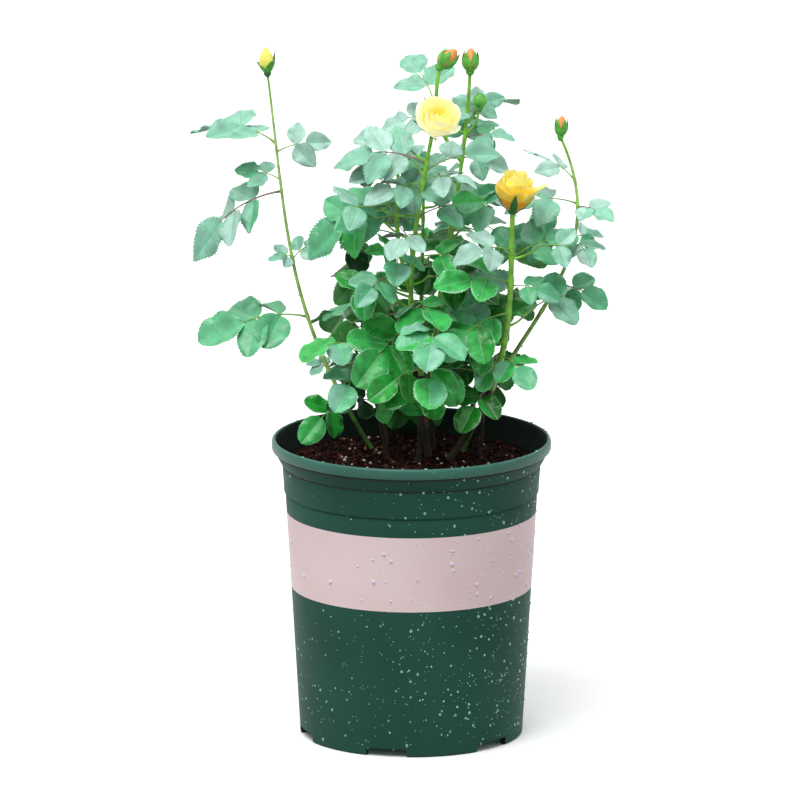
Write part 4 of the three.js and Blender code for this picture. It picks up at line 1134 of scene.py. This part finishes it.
BLOOMS = {
    "front": dict(
        slot="pale_petal", colours=lemon,
        layers=[  # count, first, (base, belly, rim), height, spread, curl, spiral, tints
            (5, 20, (3.0, 14.6, 17.0), 0.70, 50, 2.2, 1.2, (0, 0, 0)),
            (5, 56, (3.0, 14.4, 14.8), 0.84, 52, 1.8, 1.3, (1, 0, 0)),
            (4, 8, (2.6, 12.8, 10.4), 0.95, 62, 1.3, 1.5, (1, 0, 1)),
            (4, 50, (2.2, 10.4, 7.4), 0.95, 62, 0.8, 1.4, (1, 1, 1)),
            (3, 20, (1.6, 7.6, 4.6), 0.92, 76, 0.4, 1.2, (2, 1, 1)),
            (3, 80, (1.1, 4.9, 2.6), 0.88, 80, 0.2, 0.8, (2, 1, 2)),
            (2, 10, (0.6, 2.4, 1.0), 0.84, 112, 0.0, 0.4, (2, 2, 2)),
        ]),
    "gold": dict(
        slot="gold_petal", colours=golden,
        layers=[
            (1, -14, (3.0, 15.0, 22.0), 0.82, 46, 2.6, 0.6, (0, 0, 1)),
            (5, 70, (3.0, 15.2, 15.6), 0.62, 46, 1.6, 1.0, (0, 1, 2)),
            (4, 20, (3.0, 15.0, 13.6), 0.80, 60, 0.9, 1.4, (0, 1, 2)),
            (4, 62, (2.6, 13.0, 9.8), 0.93, 66, 0.7, 1.6, (0, 0, 1)),
            (3, 12, (2.0, 10.2, 6.4), 0.97, 78, 0.4, 1.5, (0, 0, 1)),
            (3, 70, (1.4, 6.8, 3.6), 0.96, 86, 0.2, 1.0, (0, 0, 0)),
            (2, 30, (0.8, 3.4, 1.4), 0.93, 112, 0.1, 0.6, (0, 0, 0)),
        ]),
}


def bloom(limb):
    """A flower of petals in layers, with its hip, sepals and stalk."""
    style = BLOOMS[limb["name"]]
    head = dict(limb["head"], foot=limb["curve"].at(1))
    mesh, random = Mesh(), random_from(40 + len(limb["name"]))
    tall = head["height"]
    for count, first, radii, height, spread, curl, spiral, tints in style["layers"]:
        for i in range(count):
            theta = math.radians(first + 360 / count * i + 9 * (random() - 0.5))
            petal(mesh, head, theta, spread * (0.94 + 0.12 * random()),
                  tuple(r * (0.97 + 0.06 * random()) for r in radii), tall * height * (0.96 + 0.07 * random()),
                  curl * (0.7 + 0.6 * random()), spiral, tints, drop=0.07 + 0.07 * random(), notch=0.5 * random())
    hip = [(0, -3.6), (1.4, -3.6), (2.2, -2.8), (3.6, -1.6), (4.2, 0.2), (3.8, 2.2), (2.6, 3.2), (0, 3.4)]
    lathe_at(mesh, head, hip, 20, 4)

    def cup(z):
        return float(np.interp(z / tall, [0, 0.1, 0.25, 0.45, 0.7, 1], [3.6, 8.0, 11.6, 14.2, 16.4, 18.5]))

    for i in range(5):
        sepal_blade(mesh, head, math.radians(54 + 72 * i), cup, tall * 0.64, 6.6, 1.3, 24, 4, base=0.4)
    stalk(mesh, limb, 5)
    mesh.make("bloom_" + limb["name"] + "_petals", style["colours"] + sepal + [stem_green], style["slot"],
              ["bloom_" + limb["name"]], sharp=70)


# ---------------------------------------------------------------- build

pot()
pot_drops()
mix()
limbs = limb_plans()
for limb in limbs:
    if not limb["parent"]:
        cane(limb)
        shoot(limb, limbs)
    if "head" in limb and limb["head"]["kind"] == "bloom":
        bloom(limb)
BUDS = {  # petals' tint, how far up each sepal covers, compass of the first, whether it is deep green
    "left": (0, (0.62, 0.95, 0.9, 0.5, 0.45), 300, 1),
    "right": (1, (0.9, 0.95, 0.98, 0.92, 0.9), 300, 0),
    "top": (1, (0.96, 0.98, 0.95, 0.98, 0.92), 305, 0),
    "top_side": (1, (0.9, 0.98, 0.95, 0.95, 0.86), 318, 0),
    "top_small": (2, (1.05, 1.05, 1.02, 1.08, 1.04), 300, 0),
}
for limb in limbs:
    if limb["name"] in BUDS:
        bud(limb, *BUDS[limb["name"]])

# ---------------------------------------------------------------- stage, light and camera

floor_mesh = bpy.data.meshes.new("floor")
floor_mesh.from_pydata([(-30, -30, 0), (30, -30, 0), (30, 30, 0), (-30, 30, 0)], [], [(0, 1, 2, 3)])
floor = bpy.data.objects.new("floor", floor_mesh)
bpy.context.collection.objects.link(floor)
floor.data.materials.append(material("floor_white", (250, 250, 250), rough=0.9, specular=0.1))
floor.visible_diffuse = False

world = bpy.data.worlds.new("studio")
bpy.context.scene.world = world
world.use_nodes = True
sky = world.node_tree.nodes["Background"]
sky.inputs["Color"].default_value = (0.98, 1.0, 1.0, 1)
heading = world.node_tree.nodes.new("ShaderNodeTexCoord")
parts = world.node_tree.nodes.new("ShaderNodeSeparateXYZ")
shades = []
for out, low, high, least, most in (("Z", -0.1, 0.95, 0.24, 1.08), ("Y", -0.1, 0.9, 0.0, 0.5)):
    shade = world.node_tree.nodes.new("ShaderNodeMapRange")
    for socket, value in (("From Min", low), ("From Max", high), ("To Min", least), ("To Max", most)):
        shade.inputs[socket].default_value = value
    world.node_tree.links.new(parts.outputs[out], shade.inputs["Value"])
    shades.append(shade)
both = world.node_tree.nodes.new("ShaderNodeMath")
for i, shade in enumerate(shades):
    world.node_tree.links.new(shade.outputs["Result"], both.inputs[i])
world.node_tree.links.new(heading.outputs["Generated"], parts.inputs["Vector"])
world.node_tree.links.new(both.outputs["Value"], sky.inputs["Strength"])

light = bpy.data.lights.new("key", "SUN")
light.energy, light.angle = 2.0, math.radians(40)
key = bpy.data.objects.new("key", light)
key.rotation_euler = Vector((0.25, 0.45, -1.0)).to_track_quat("-Z", "Y").to_euler()
bpy.context.collection.objects.link(key)

AIM, ELEVATION, DISTANCE = Vector((-9.4, 0, 279.9)) * MM, math.radians(13.1), 12.0
camera = bpy.data.objects.new("camera", bpy.data.cameras.new("camera"))
camera.data.sensor_width, camera.data.lens = 36, 657
camera.data.clip_start, camera.data.clip_end = 0.1, 60
away = Vector((0, -math.cos(ELEVATION), math.sin(ELEVATION)))
camera.location = AIM + away * DISTANCE
camera.rotation_euler = (-away).to_track_quat("-Z", "Y").to_euler()
bpy.context.collection.objects.link(camera)
bpy.context.scene.camera = camera
bpy.context.scene.view_settings.view_transform = "Standard"
